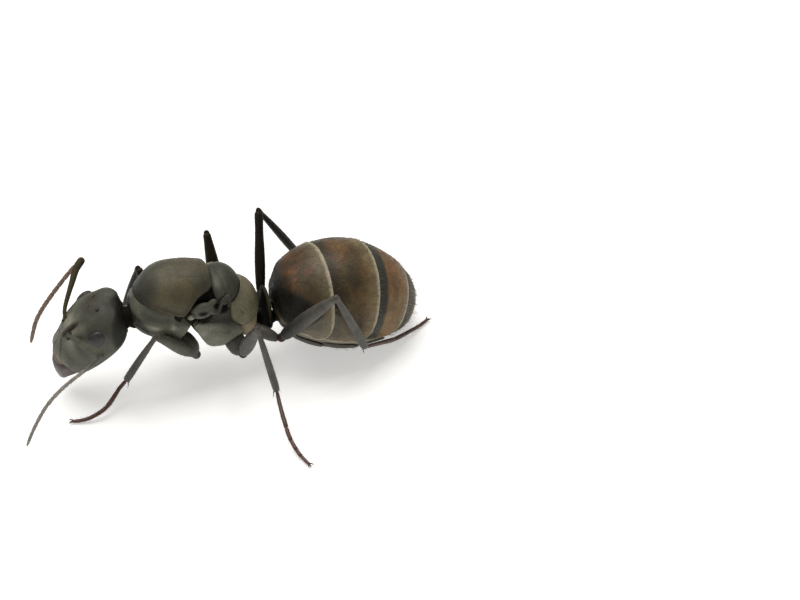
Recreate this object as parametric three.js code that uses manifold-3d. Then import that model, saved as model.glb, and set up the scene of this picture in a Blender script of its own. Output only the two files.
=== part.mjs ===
// Carpenter ant queen (wingless, gaster swollen with eggs) as a still life-size model, in millimetres.
// +Z up, the head towards -X, the queen's left side towards -Y. The model stands on z = 0 on the soles of
// six feet and on the underside of the gaster.
// Every plate and limb joint of the body is a solid of its own, parted from its neighbours by a thin cut.
import * as THREE from "three";
import { mergeVertices } from "three/addons/utils/BufferGeometryUtils.js";
import Module from "manifold-3d";

const wasm = await Module();
wasm.setup();

// ---------------------------------------------------------------- driving dimensions (mm)
const GAP = 0.04; // clear cut between two neighbouring plates
const FLOOR_DROP = 20; // depth of the block that trims the soles level
const ORIGIN_X = 0.976; // the middle of the standing model, lengthwise
const ORIGIN_Y = -0.698; // and across

// head: a wedge-shaped capsule, broad at the back, the face tipped well below level and turned a little
// to the queen's right; the axis runs through the lower part of the capsule
const HEAD_CENTRE = [-4.357, 0.025, 2.951];
const HEAD_PITCH = 48.3;
const HEAD_YAW = 7.9;
const HEAD_ROLL = 7.9;
// along the head from the nape to the clypeus: place, half width, height above and below the axis
const HEAD_SECTIONS = [
  [-1.73, 1.15, 0.98, 0.67],
  [-1.04, 1.44, 1.26, 0.82],
  [-0.31, 1.5, 1.41, 0.87],
  [0.52, 1.37, 1.38, 0.8],
  [1.25, 1.18, 1.12, 0.64],
  [1.79, 0.99, 0.76, 0.42],
];
const HEAD_SQUARENESS = 2.35;
const EYE = { along: -0.5, across: 1.3, up: 0.72, tilt: 0.47, radii: [0.46, 0.2, 0.36] };
const OCELLI = [[-0.98, 0, 1.28], [-1.3, 0.43, 1.12], [-1.3, -0.43, 1.12]];
const MANDIBLE = { base: 1.52, tip: 2.76, width: 0.66, thick: 0.36, apart: [0.63, 0.27] };
const NECK = { from: [-3.45, -0.06, 3.5], to: [-2.2, 0, 3.45], radius: 0.46 };

// antennae: the scape rises from its socket to the elbow, the funiculus bows forward and down to its tip
const SCAPE_RADIUS = 0.25;
const FUNICULUS_RADIUS = 0.25;
const ANTENNAE = {
  left: { scape: [[-5.61, -0.42, 3.45], [-5.25, -2.0, 4.05], [-4.79, -3.3, 4.46]], funiculus: [[-4.79, -3.3, 4.46], [-5.76, -3.31, 3.72], [-7.27, -3.42, 2.46], [-8.34, -3.91, 0.9]] },
  right: { scape: [[-5.58, 0.48, 3.52], [-5.15, 1.8, 4.07], [-4.12, 3.05, 4.52]], funiculus: [[-4.12, 3.05, 4.52], [-5.17, 3.21, 3.25], [-6.13, 3.27, 1.81], [-6.66, 3.1, 0.36]] },
};

// thorax: ellipsoids [centre, half sizes] in the thorax frame, pitched nose up about its centre
const THORAX_CENTRE = [0, 0, 3.55];
const THORAX_PITCH = 7;
const THORAX = {
  pronotum: [
    [[-1.66, 0, 0.0], [1.3, 1.36, 1.27]],
    [[-0.95, 0.52, -0.55], [1.2, 0.78, 0.86]],
    [[-0.95, -0.52, -0.55], [1.2, 0.78, 0.86]],
  ],
  scutum: [[[-0.55, 0, 0.4], [2.3, 1.66, 1.6]]],
  scutellum: [[[1.02, 0, 0.9], [0.82, 1.04, 0.8]]],
  mesopleuron: [
    [[0.3, 0, -0.15], [1.7, 1.6, 1.55]],
    [[0.85, 0.6, -0.78], [1.32, 0.95, 1.0]],
    [[0.85, -0.6, -0.78], [1.32, 0.95, 1.0]],
  ],
  propodeum: [[[1.72, 0, -0.3], [1.06, 1.22, 1.36]]],
};
const SHIELD = { height: 0.66, tilt: -5, rear: 0.74, lean: -8, notchAt: -0.36, notchTilt: -47 }; // where the scutum is trimmed below, behind and over the wing roots
const PETIOLE = { foot: [2.98, 0, 1.9], top: [2.96, 0, 3.52], halfWidth: 0.8, halfThick: 0.24, stem: 0.34 };

// gaster: five telescoping rings of one swollen egg shape, threaded on a spine that starts level and
// bends down to the tip
const GASTER = {
  start: [3.364, 0.024, 2.48], // front pole of the spine
  length: 6.6,
  yaw: [1.24, 8.95], // heading of the spine at its start and end, degrees
  dip: [-3.8, 39.7], // slope of the spine, degrees below level
  halfWidth: 2.57,
  heightAbove: 2.54,
  depthBelow: 2.02,
  // share of the length, share of the full half width
  profile: [[0, 0], [0.012, 0.27], [0.03, 0.43], [0.1, 0.7], [0.2, 0.86], [0.33, 0.965], [0.47, 1.0], [0.62, 0.935], [0.76, 0.79], [0.87, 0.61], [0.95, 0.42], [0.985, 0.25], [1, 0]],
  margins: [0, 0.278, 0.552, 0.8, 0.93, 1], // rear edges of the rings
  step: 0.05, // each rear edge stands this far proud of the ring behind it
};

// legs: hip, hip end, knee, and the tarsus from the ankle over its bend to the sole end
const LEGS = {
  left_fore: { hip: [-1.5, -0.6, 2.35], end: [-0.24, -0.76, 1.31], knee: [-2.16, -1.83, 3.63], tarsus: [[-3.49, -1.49, 1.25], [-4.34, -1.93, 0.62], [-5.1, -2.16, 0.27], [-6.03, -2.05, 0.17]] },
  left_mid: { hip: [1.25, -0.7, 2.3], end: [1.6, -1.6, 1.5], knee: [1.73, -3.85, 4.75], tarsus: [[2.48, -3.9, 1.15], [2.4, -5.29, 0.72], [2.44, -6.25, 0.34], [2.83, -7.6, 0.17]] },
  left_hind: { hip: [2.25, -0.68, 2.2], end: [3.3, -1.33, 1.73], knee: [5.3, -3.34, 5.15], tarsus: [[6.75, -2.64, 1.5], [7.6, -2.12, 1.02], [8.5, -1.56, 0.5], [9.32, -0.88, 0.25], [10.36, -0.1, 0.17]] },
  right_fore: { hip: [-1.5, 0.6, 2.35], end: [-0.5, 0.95, 1.3], knee: [-1.86, 2.5, 3.9], tarsus: [[-2.3, 3.4, 1.3], [-2.75, 3.75, 0.7], [-3.2, 3.85, 0.3], [-3.95, 3.6, 0.17]] },
  right_mid: { hip: [1.25, 0.7, 2.3], end: [1.5, 1.6, 1.6], knee: [1.4, 3.3, 4.45], tarsus: [[1.9, 4.3, 1.4], [1.35, 4.85, 0.72], [0.8, 5.35, 0.3], [-0.3, 6.1, 0.17]] },
  right_hind: { hip: [2.25, 0.68, 2.2], end: [3.2, 1.25, 1.8], knee: [3.8, 3.5, 4.95], tarsus: [[5.7, 4.0, 1.6], [6.4, 4.2, 0.85], [7.1, 4.45, 0.34], [8.4, 4.75, 0.17]] },
};
// half thickness of each limb piece: at its start, its middle and its end
const COXA_R = { fore: [0.42, 0.56, 0.34], mid: [0.4, 0.46, 0.32], hind: [0.4, 0.48, 0.32] };
const FEMUR_R = { fore: [0.25, 0.38, 0.26], mid: [0.25, 0.31, 0.25], hind: [0.25, 0.3, 0.25] };
const TIBIA_R = { fore: [0.25, 0.26, 0.25], mid: [0.25, 0.26, 0.25], hind: [0.25, 0.26, 0.25] };
const TROCHANTER_R = 0.28;
const TROCHANTER_LENGTH = { fore: 0.72, mid: 0.66, hind: 0.74 };
const TARSUS_R = 0.25;

// ---------------------------------------------------------------- shape makers
const V = (a) => new THREE.Vector3(...a);
const lerp = (a, b, t) => a + (b - a) * t;

function solidOf(geometry) {
  const g = geometry.index ? geometry.toNonIndexed() : geometry.clone();
  const bare = new THREE.BufferGeometry().setAttribute("position", g.getAttribute("position"));
  const merged = mergeVertices(bare, 1e-4);
  const p = merged.attributes.position.array;
  const idx = merged.index.array;
  const tri = [];
  for (let i = 0; i < idx.length; i += 3)
    if (idx[i] !== idx[i + 1] && idx[i + 1] !== idx[i + 2] && idx[i] !== idx[i + 2]) tri.push(idx[i], idx[i + 1], idx[i + 2]);
  let made = new wasm.Manifold(new wasm.Mesh({ numProp: 3, vertProperties: new Float32Array(p), triVerts: new Uint32Array(tri) }));
  if (made.volume() < 0) {
    for (let i = 0; i < tri.length; i += 3) [tri[i + 1], tri[i + 2]] = [tri[i + 2], tri[i + 1]];
    made = new wasm.Manifold(new wasm.Mesh({ numProp: 3, vertProperties: new Float32Array(p), triVerts: new Uint32Array(tri) }));
  }
  return made;
}

function geometryOf(solid) {
  const m = solid.getMesh();
  const n = m.numProp;
  const v = new Float32Array(m.numVert * 3);
  for (let i = 0; i < m.numVert; i++) v.set(m.vertProperties.subarray(i * n, i * n + 3), i * 3);
  const g = new THREE.BufferGeometry();
  g.setAttribute("position", new THREE.BufferAttribute(v, 3));
  g.setIndex(new THREE.BufferAttribute(new Uint32Array(m.triVerts), 1));
  return g;
}

// the largest connected body of a solid, without the crumbs a cut may leave
function mainBody(solid) {
  const g = geometryOf(solid);
  const idx = g.index.array;
  const parent = Array.from({ length: g.attributes.position.count }, (_, i) => i);
  const find = (a) => {
    while (parent[a] !== a) a = parent[a] = parent[parent[a]];
    return a;
  };
  for (let i = 0; i < idx.length; i += 3) for (const b of [idx[i + 1], idx[i + 2]]) parent[find(b)] = find(idx[i]);
  const groups = new Map();
  for (let i = 0; i < idx.length; i += 3) {
    const key = find(idx[i]);
    if (!groups.has(key)) groups.set(key, []);
    groups.get(key).push(idx[i], idx[i + 1], idx[i + 2]);
  }
  const largest = [...groups.values()].sort((a, b) => b.length - a.length)[0];
  g.setIndex(largest);
  return solidOf(g);
}

// smooth curve through rows of a table, read at x
function readTable(rows, x, column) {
  if (x <= rows[0][0]) return rows[0][column];
  const last = rows.length - 1;
  if (x >= rows[last][0]) return rows[last][column];
  let i = 0;
  while (x > rows[i + 1][0]) i++;
  const t = (x - rows[i][0]) / (rows[i + 1][0] - rows[i][0]);
  const p0 = rows[Math.max(i - 1, 0)][column], p1 = rows[i][column];
  const p2 = rows[i + 1][column], p3 = rows[Math.min(i + 2, last)][column];
  return 0.5 * (2 * p1 + (p2 - p0) * t + (2 * p0 - 5 * p1 + 4 * p2 - p3) * t * t + (3 * p1 - p0 - 3 * p2 + p3) * t * t * t);
}

// a sphere whose rows become the cross sections place(rowShare, angle) returns
function skinned(rows, sides, place) {
  const g = new THREE.SphereGeometry(1, sides, rows);
  const p = g.attributes.position;
  for (let i = 0; i <= rows; i++)
    for (let j = 0; j <= sides; j++) {
      const q = place(i / rows, (2 * Math.PI * (j % sides)) / sides);
      p.setXYZ(i * (sides + 1) + j, q.x, q.y, q.z);
    }
  return solidOf(g);
}

// an ellipsoid of half sizes radii, optionally grown all round
function ellipsoid(centre, radii, grow = 0, around = 16, down = 10) {
  const g = new THREE.SphereGeometry(1, around, down);
  g.rotateZ(Math.PI / 2);
  g.scale(radii[0] + grow, radii[1] + grow, radii[2] + grow);
  g.translate(...centre);
  return solidOf(g);
}

// a round limb along a smooth path, radii read at start, middle and end, with round ends
function limb(points, radii, { grow = 0, sides = 8, rows = 8, flat = 1 } = {}) {
  const curve = points.length > 2 ? new THREE.CatmullRomCurve3(points.map(V)) : new THREE.LineCurve3(V(points[0]), V(points[1]));
  const length = curve.getLength();
  const r0 = radii[0] + grow, r2 = radii[2] + grow;
  const inner = rows - 4;
  // places of the rows along the limb, as distances: pole, shoulder, full ring, ..., mirrored at the far end
  const at = [-grow, -grow + 0.29 * r0, -grow + r0];
  for (let i = 1; i < inner; i++) at.push(lerp(r0, length - r2, i / inner));
  at.push(length + grow - r2, length + grow - 0.29 * r2, length + grow);
  const frames = curve.computeFrenetFrames(24, false);
  return skinned(at.length - 1, sides, (share, angle) => {
    const k = Math.round(share * (at.length - 1));
    const t = at[k] / length;
    const u = Math.min(Math.max(t, 0), 1);
    const centre = curve.getPointAt(u).addScaledVector(curve.getTangentAt(u), at[k] - u * length);
    let r = u < 0.5 ? lerp(radii[0], radii[1], Math.sin(Math.PI * u)) : lerp(radii[2], radii[1], Math.sin(Math.PI * u));
    r += grow;
    if (k === 0 || k === at.length - 1) r = 0;
    else if (k === 1 || k === at.length - 2) r *= 0.71;
    const f = Math.round(u * 24);
    return centre.addScaledVector(frames.normals[f], r * Math.cos(angle)).addScaledVector(frames.binormals[f], r * flat * Math.sin(angle));
  });
}

const union = (solids) => solids.reduce((a, b) => a.add(b));
const place = (matrix) => (solid) => solidOf(geometryOf(solid).applyMatrix4(matrix));
function pose(centre, pitchDegrees, yawDegrees = 0) {
  // local +x runs to the rear; a positive pitch lifts the front
  const m = new THREE.Matrix4().makeRotationZ(THREE.MathUtils.degToRad(yawDegrees));
  m.multiply(new THREE.Matrix4().makeRotationY(THREE.MathUtils.degToRad(pitchDegrees)));
  return new THREE.Matrix4().makeTranslation(...centre).multiply(m);
}

// everything under the floor plane is trimmed away, which leaves the flats it stands on
const belowFloor = solidOf(new THREE.BoxGeometry(60, 60, FLOOR_DROP).translate(0, 0, -FLOOR_DROP / 2));

const solids = {};

// ---------------------------------------------------------------- head
// head frame: x along the head to the clypeus, y to the queen's right, z out of the face
const headMatrix = (() => {
  const [a, b, c] = [HEAD_PITCH, HEAD_YAW, HEAD_ROLL].map(THREE.MathUtils.degToRad);
  const forward = new THREE.Vector3(-Math.cos(a) * Math.cos(b), Math.cos(a) * Math.sin(b), -Math.sin(a));
  const side = new THREE.Vector3(Math.sin(b), Math.cos(b), 0);
  const out = new THREE.Vector3().crossVectors(side, forward);
  side.applyAxisAngle(forward, -c);
  out.applyAxisAngle(forward, -c);
  return new THREE.Matrix4().makeBasis(forward, side, out).setPosition(V(HEAD_CENTRE));
})();
const toHead = place(headMatrix);

function headCapsule(grow = 0) {
  const first = HEAD_SECTIONS[0][0], last = HEAD_SECTIONS[HEAD_SECTIONS.length - 1][0];
  const rows = 11, sides = 20;
  return skinned(rows, sides, (share, angle) => {
    // rows crowd towards both ends, where the capsule rounds off
    const s = 0.5 - 0.5 * Math.cos(Math.PI * share);
    const x = lerp(first - grow, last + grow, s);
    const rear = Math.min((x - first + grow) / 0.75, 1), front = Math.min((last + grow - x) / 0.34, 1);
    const cap = Math.pow(Math.max(1 - Math.pow(1 - rear, 2.4), 0), 1 / 2.4) * Math.pow(Math.max(1 - Math.pow(1 - front, 2.2), 0), 1 / 2.2);
    const c = Math.cos(angle), q = Math.sin(angle);
    const k = Math.pow(Math.pow(Math.abs(c), HEAD_SQUARENESS) + Math.pow(Math.abs(q), HEAD_SQUARENESS), -1 / HEAD_SQUARENESS);
    const w = (readTable(HEAD_SECTIONS, x, 1) + grow) * cap;
    const h = (readTable(HEAD_SECTIONS, x, q > 0 ? 2 : 3) + grow) * cap;
    return new THREE.Vector3(x, w * k * c, h * k * q);
  });
}
const headLocal = headCapsule();
const eyes = {};
for (const [side, sign] of [["left", -1], ["right", 1]]) {
  const m = new THREE.Matrix4().makeTranslation(EYE.along, sign * EYE.across, EYE.up).multiply(new THREE.Matrix4().makeRotationX(sign * EYE.tilt));
  eyes[side] = (grow) => solidOf(geometryOf(ellipsoid([0, 0, 0], EYE.radii, grow, 10, 7)).applyMatrix4(m));
}
const ocelli = union(OCELLI.map((at) => ellipsoid(at, [0.11, 0.11, 0.1], 0, 6, 4)));
const mandible = (sign, grow) =>
  skinned(7, 10, (share, angle) => {
    // broad blade from the cheek to the toothed tip, curving to the midline
    const x = lerp(MANDIBLE.base - grow, MANDIBLE.tip + grow, share);
    const cap = Math.sqrt(Math.max(1 - Math.pow(Math.abs(2 * share - 1), 4), 0));
    const y = sign * lerp(...MANDIBLE.apart, share * share);
    const w = (MANDIBLE.width * 0.5 * (1 - 0.15 * share) + grow) * cap;
    const h = (MANDIBLE.thick * (1 - 0.25 * share) + grow) * cap;
    return new THREE.Vector3(x, y + w * Math.cos(angle), -0.06 + h * Math.sin(angle));
  });
const half = (sign) => solidOf(new THREE.BoxGeometry(8, 4, 4).translate(0, sign * (2 + GAP / 2), 0));
const headWithOcelli = headLocal.add(ocelli);
solids.mandible_left = toHead(mandible(-1, 0).intersect(half(-1)).subtract(headCapsule(GAP)));
solids.mandible_right = toHead(mandible(1, 0).intersect(half(1)).subtract(headCapsule(GAP)));
solids.eye_left = toHead(eyes.left(0));
solids.eye_right = toHead(eyes.right(0));
solids.head = toHead(headWithOcelli.subtract(eyes.left(GAP)).subtract(eyes.right(GAP)));

// ---------------------------------------------------------------- thorax
const toThorax = place(pose(THORAX_CENTRE, THORAX_PITCH));
const plate = (name, grow = 0) => union(THORAX[name].map(([c, r], i) => ellipsoid(c, r, grow, i ? 12 : 16, i ? 7 : 9)));
const scutum = plate("scutum");
// the scutum is a shield: trimmed off below and behind, its lower edge rising over the wing roots
const shieldFloor = (drop) => {
  const slab = (tilt, x) => solidOf(new THREE.BoxGeometry(12, 12, 6).translate(0, 0, -3 - drop).rotateY(THREE.MathUtils.degToRad(tilt)).translate(x, 0, SHIELD.height));
  const notch = slab(SHIELD.notchTilt, SHIELD.notchAt).intersect(solidOf(new THREE.BoxGeometry(6, 12, 12).translate(3 + SHIELD.notchAt, 0, 0)));
  return slab(SHIELD.tilt, SHIELD.notchAt).add(notch);
};
const shieldRear = (x) => solidOf(new THREE.BoxGeometry(6, 12, 12).translate(3 + x, 0, 0).rotateY(THREE.MathUtils.degToRad(SHIELD.lean)));
const scutumPlate = scutum.subtract(shieldFloor(0)).subtract(shieldRear(SHIELD.rear));
const scutumSpace = plate("scutum", GAP).subtract(shieldFloor(GAP)).subtract(shieldRear(SHIELD.rear + GAP));
const scutellumPlate = plate("scutellum").subtract(scutumSpace);
const scutellumSpace = plate("scutellum", GAP);
const propodeumPlate = plate("propodeum").subtract(scutellumSpace).subtract(scutumSpace);
const propodeumSpace = plate("propodeum", GAP);
const coxaRim = (side, part) => {
  const l = LEGS[`${side}_${part}`];
  return limb([l.hip, l.end], COXA_R[part], { grow: GAP, rows: 5, sides: 8 });
};
const coxaSpaces = union(["left", "right"].flatMap((s) => ["fore", "mid", "hind"].map((p) => coxaRim(s, p))));
// the side plate ends at an oblique joint with the collar
const collarJoint = (shift) => solidOf(new THREE.BoxGeometry(8, 12, 14).translate(-4 + shift, 0, 0).rotateY(THREE.MathUtils.degToRad(28)).translate(-0.42, 0, -0.2));
const pleuronPlate = plate("mesopleuron").subtract(scutumSpace).subtract(scutellumSpace).subtract(propodeumSpace).subtract(collarJoint(0));
const collarPlate = plate("pronotum").subtract(scutumSpace).intersect(collarJoint(-GAP));

solids.neck = limb([NECK.from, NECK.to], [NECK.radius, NECK.radius * 0.9, NECK.radius], { rows: 5, sides: 8 });
solids.thorax_pronotum = toThorax(collarPlate).subtract(coxaSpaces).subtract(toHead(headCapsule(GAP)));
solids.thorax_scutum = toThorax(scutumPlate);
solids.thorax_scutellum = toThorax(scutellumPlate);
solids.thorax_mesopleuron = toThorax(pleuronPlate).subtract(coxaSpaces);
solids.thorax_propodeum = toThorax(propodeumPlate).subtract(coxaSpaces);
solids.neck = solids.neck.subtract(toHead(headCapsule(GAP))).subtract(toThorax(plate("pronotum", GAP)));

// ---------------------------------------------------------------- petiole: a stalk with one upright scale
const petioleShape = (grow) => {
  const scale = skinned(8, 12, (share, angle) => {
    const z = lerp(PETIOLE.foot[2] - 0.35 - grow, PETIOLE.top[2] + grow, 0.5 - 0.5 * Math.cos(Math.PI * share));
    const u = (z - PETIOLE.foot[2] + 0.35) / (PETIOLE.top[2] - PETIOLE.foot[2] + 0.35);
    const cap = Math.sqrt(Math.max(1 - Math.pow(Math.abs(2 * u - 1), 3.2), 0));
    const x = lerp(PETIOLE.foot[0] + 0.1, PETIOLE.top[0], u);
    return new THREE.Vector3(x + (PETIOLE.halfThick * (1.35 - 0.6 * u) + grow) * cap * Math.cos(angle), (PETIOLE.halfWidth + grow) * cap * Math.sin(angle), z);
  });
  const stem = limb([[2.75, 0, 1.95], [4.1, 0.02, 1.75]], [PETIOLE.stem, PETIOLE.stem, PETIOLE.stem], { grow, rows: 5, sides: 8 });
  return scale.add(stem);
};
solids.petiole = petioleShape(0).subtract(toThorax(propodeumSpace)).subtract(coxaSpaces);

// ---------------------------------------------------------------- gaster
const spine = (() => {
  const steps = 120;
  const turn = (u) => {
    const yaw = THREE.MathUtils.degToRad(lerp(GASTER.yaw[0], GASTER.yaw[1], u));
    const dip = THREE.MathUtils.degToRad(lerp(GASTER.dip[0], GASTER.dip[1], u));
    const along = new THREE.Vector3(Math.cos(yaw) * Math.cos(dip), Math.sin(yaw) * Math.cos(dip), -Math.sin(dip));
    const side = new THREE.Vector3(-Math.sin(yaw), Math.cos(yaw), 0);
    return { along, side, up: new THREE.Vector3().crossVectors(along, side) };
  };
  const points = [V(GASTER.start)];
  for (let i = 0; i < steps; i++) points.push(points[i].clone().addScaledVector(turn((i + 0.5) / steps).along, GASTER.length / steps));
  return (u) => {
    const k = Math.min(Math.max(u, 0), 1) * steps;
    const i = Math.min(Math.floor(k), steps - 1);
    return { centre: points[i].clone().lerp(points[i + 1], k - i), ...turn(u) };
  };
})();
function gasterRing(i) {
  const u0 = GASTER.margins[i] + (i === 0 ? 0 : GAP / GASTER.length), u1 = GASTER.margins[i + 1];
  // rows of the skin: place along the spine and share of the profile there
  const rows = [];
  if (i === 0) for (const u of [0, 0.008, 0.022, 0.05, 0.095, 0.15, 0.215, u1]) rows.push([u, u === 0 ? 0 : 1]);
  else if (i < 4) {
    rows.push([u0, 0]);
    const n = i < 3 ? 4 : 3;
    for (let k = 0; k <= n; k++) rows.push([lerp(u0, u1, k / n), 1]);
  } else for (const u of [u0, u0 + 1e-4, 0.958, 0.982, 0.995, 1]) rows.push([u, u === u0 || u === 1 ? 0 : 1]);
  if (i < 4) rows.push([u1, 0]);
  const sides = i < 4 ? 26 : 18;
  return skinned(rows.length - 1, sides, (share, angle) => {
    const [u, on] = rows[Math.round(share * (rows.length - 1))];
    const { centre, side, up } = spine(u);
    // the ring swells towards its rear edge, which overhangs the next one
    const swell = i < 4 ? GASTER.step * Math.pow((u - u0) / (u1 - u0), 1.5) : 0;
    const r = on * readTable(GASTER.profile, u, 1);
    const c = Math.cos(angle), q = Math.sin(angle);
    return centre
      .addScaledVector(side, (GASTER.halfWidth * r + on * swell) * c)
      .addScaledVector(up, ((q > 0 ? GASTER.heightAbove : GASTER.depthBelow) * r + on * swell) * q);
  });
}
const gasterRings = [0, 1, 2, 3, 4].map((i) => gasterRing(i).subtract(belowFloor));
gasterRings.forEach((ring, i) => {
  solids[`gaster_${i + 1}`] = i === 0 ? ring.subtract(petioleShape(GAP)) : ring;
});

// ---------------------------------------------------------------- antennae
for (const side of ["left", "right"]) {
  const a = ANTENNAE[side];
  const scape = (grow) => limb(a.scape, [SCAPE_RADIUS, SCAPE_RADIUS, SCAPE_RADIUS], { grow, rows: 7, sides: 7 });
  const whole = new THREE.CatmullRomCurve3(a.funiculus.map(V));
  const stretch = (s0, s1) => [0, 0.33, 0.67, 1].map((t) => whole.getPointAt(lerp(s0, s1, t)).toArray());
  const r = FUNICULUS_RADIUS;
  const base = (grow) => limb(stretch(0.02, 0.5), [r, r, r], { grow, rows: 7, sides: 7 });
  solids[`scape_${side}`] = scape(0).subtract(toHead(headCapsule(GAP)));
  solids[`funiculus_base_${side}`] = base(0).subtract(scape(GAP));
  solids[`funiculus_tip_${side}`] = limb(stretch(0.47, 1), [r, r, r], { rows: 7, sides: 7 }).subtract(base(GAP));
}

// ---------------------------------------------------------------- legs
for (const [name, l] of Object.entries(LEGS)) {
  const part = name.split("_")[1];
  const hip = V(l.hip), end = V(l.end), knee = V(l.knee);
  const thigh = knee.clone().sub(end).normalize();
  const joint = end.clone().lerp(knee, 0.12);
  const coxa = (grow) => limb([l.hip, l.end], COXA_R[part], { grow, rows: 5, sides: 8 });
  // the trochanter is the knob that turns the limb from the end of the coxa into the femur
  const socket = end.clone().addScaledVector(end.clone().sub(hip).normalize(), part === "fore" ? 0.2 : 0);
  const trochanterEnd = socket.clone().addScaledVector(thigh, TROCHANTER_LENGTH[part]).toArray();
  const trochanter = (grow) => limb([socket.toArray(), trochanterEnd], [TROCHANTER_R, TROCHANTER_R, TROCHANTER_R], { grow, rows: 5, sides: 7 });
  const femur = (grow) => limb([joint.toArray(), l.knee], FEMUR_R[part], { grow, rows: 6, sides: 8 });
  const tibia = (grow) => limb([l.knee, l.tarsus[0]], TIBIA_R[part], { grow, rows: 5, sides: 8 });
  const tarsus = limb(l.tarsus, [TARSUS_R, TARSUS_R, TARSUS_R], { rows: 8, sides: 7 });
  solids[`coxa_${name}`] = coxa(0);
  solids[`trochanter_${name}`] = trochanter(0).subtract(coxa(GAP));
  solids[`femur_${name}`] = femur(0).subtract(trochanter(GAP)).subtract(coxa(GAP));
  if (part === "fore") solids.thorax_pronotum = solids.thorax_pronotum.subtract(femur(GAP));
  solids[`tibia_${name}`] = tibia(0).subtract(femur(GAP));
  solids[`tarsus_${name}`] = tarsus.subtract(tibia(GAP)).subtract(belowFloor);
  if (name === "left_hind") for (const k of [1, 2, 3]) solids[`tarsus_${name}`] = solids[`tarsus_${name}`].subtract(gasterRing(k));
}

// ---------------------------------------------------------------- materials and scene graph
const CUTICLE = { color: 0x3b3a34, roughness: 0.5, metalness: 0 };
const LOOKS = {
  shell: new THREE.MeshStandardMaterial(CUTICLE),
  gaster: new THREE.MeshStandardMaterial({ color: 0x4a3b2a, roughness: 0.42, metalness: 0 }),
  eye: new THREE.MeshStandardMaterial({ color: 0x151413, roughness: 0.3, metalness: 0 }),
  jaw: new THREE.MeshStandardMaterial({ color: 0x4a2a24, roughness: 0.4, metalness: 0 }),
  leg: new THREE.MeshStandardMaterial({ color: 0x37302b, roughness: 0.5, metalness: 0 }),
  foot: new THREE.MeshStandardMaterial({ color: 0x5a3a30, roughness: 0.5, metalness: 0 }),
};
const lookOf = (name) =>
  name.startsWith("gaster") ? LOOKS.gaster
  : name.startsWith("eye") ? LOOKS.eye
  : name.startsWith("mandible") ? LOOKS.jaw
  : name.startsWith("tarsus") || name.startsWith("funiculus") ? LOOKS.foot
  : /^(coxa|trochanter|femur|tibia|scape)/.test(name) ? LOOKS.leg
  : LOOKS.shell;

const ant = new THREE.Group();
ant.name = "ant_queen";
ant.position.set(-ORIGIN_X, -ORIGIN_Y, 0);
for (const [name, solid] of Object.entries(solids)) {
  const mesh = new THREE.Mesh(geometryOf(mainBody(solid)), lookOf(name).clone());
  mesh.name = name;
  ant.add(mesh);
}

export default ant;
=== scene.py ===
import math

import bpy
import numpy as np
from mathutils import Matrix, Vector


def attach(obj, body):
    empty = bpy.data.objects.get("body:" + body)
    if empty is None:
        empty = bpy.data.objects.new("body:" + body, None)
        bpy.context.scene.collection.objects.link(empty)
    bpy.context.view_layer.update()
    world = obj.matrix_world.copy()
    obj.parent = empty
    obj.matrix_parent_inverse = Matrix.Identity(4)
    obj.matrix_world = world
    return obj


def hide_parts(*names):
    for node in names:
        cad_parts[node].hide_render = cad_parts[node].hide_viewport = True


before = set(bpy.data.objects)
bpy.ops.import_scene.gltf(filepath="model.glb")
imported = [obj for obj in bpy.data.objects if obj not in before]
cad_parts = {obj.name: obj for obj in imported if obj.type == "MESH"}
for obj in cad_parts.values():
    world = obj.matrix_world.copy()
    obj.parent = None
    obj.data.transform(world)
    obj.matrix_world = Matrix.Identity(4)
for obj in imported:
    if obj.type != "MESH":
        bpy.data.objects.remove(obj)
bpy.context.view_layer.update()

MM = 0.001
SHIFT = np.array([0.976, -0.698, 0.0])
FINE = 1.0  # voxel size factor


# ------------------------------------------------------------------ number helpers
def ease(x, a, b):
    t = np.clip((x - a) / (b - a), 0.0, 1.0)
    return t * t * (3.0 - 2.0 * t)


def bell(x, w):
    return np.exp(-((x / w) ** 2))


def smin(a, b, k):
    h = np.clip(0.5 + 0.5 * (b - a) / k, 0.0, 1.0)
    return b + (a - b) * h - k * h * (1.0 - h)


def smax(a, b, k):
    return -smin(-a, -b, k)


def table(rows, x, column):
    """smooth curve through the rows of a table, read at x"""
    rows = np.asarray(rows, float)
    X, Y = rows[:, 0], rows[:, column]
    x = np.clip(x, X[0], X[-1])
    i = np.clip(np.searchsorted(X, x, side="right") - 1, 0, len(X) - 2)
    t = (x - X[i]) / (X[i + 1] - X[i])
    p0, p1, p2, p3 = Y[np.maximum(i - 1, 0)], Y[i], Y[i + 1], Y[np.minimum(i + 2, len(X) - 1)]
    return 0.5 * (2 * p1 + (p2 - p0) * t + (2 * p0 - 5 * p1 + 4 * p2 - p3) * t**2 + (3 * p1 - p0 - 3 * p2 + p3) * t**3)


def ball(q, centre, radii):
    """rough distance to an ellipsoid"""
    p = q - np.asarray(centre, float)
    r = np.asarray(radii, float)
    k0 = np.sqrt(((p / r) ** 2).sum(1))
    k1 = np.sqrt(((p / (r * r)) ** 2).sum(1))
    return np.where(k1 > 1e-5, k0 * (k0 - 1.0) / np.maximum(k1, 1e-5), -r.min())


def rod(q, a, b, ra, rb):
    """distance to a round rod that tapers from ra to rb"""
    a, b = np.asarray(a, float), np.asarray(b, float)
    ab = b - a
    t = np.clip((q - a) @ ab / (ab @ ab), 0.0, 1.0)
    return np.linalg.norm(q - a - t[:, None] * ab, axis=1) - (ra + (rb - ra) * t)


def turned(q, centre, axis, degrees):
    """points as seen in a frame at centre, turned about x, y or z"""
    c, s = math.cos(math.radians(degrees)), math.sin(math.radians(degrees))
    p = q - np.asarray(centre, float)
    x, y, z = p.T
    if axis == "x":
        return np.stack([x, c * y + s * z, -s * y + c * z], 1)
    if axis == "y":
        return np.stack([c * x - s * z, y, s * x + c * z], 1)
    return np.stack([c * x + s * y, -s * x + c * y, z], 1)


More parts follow.
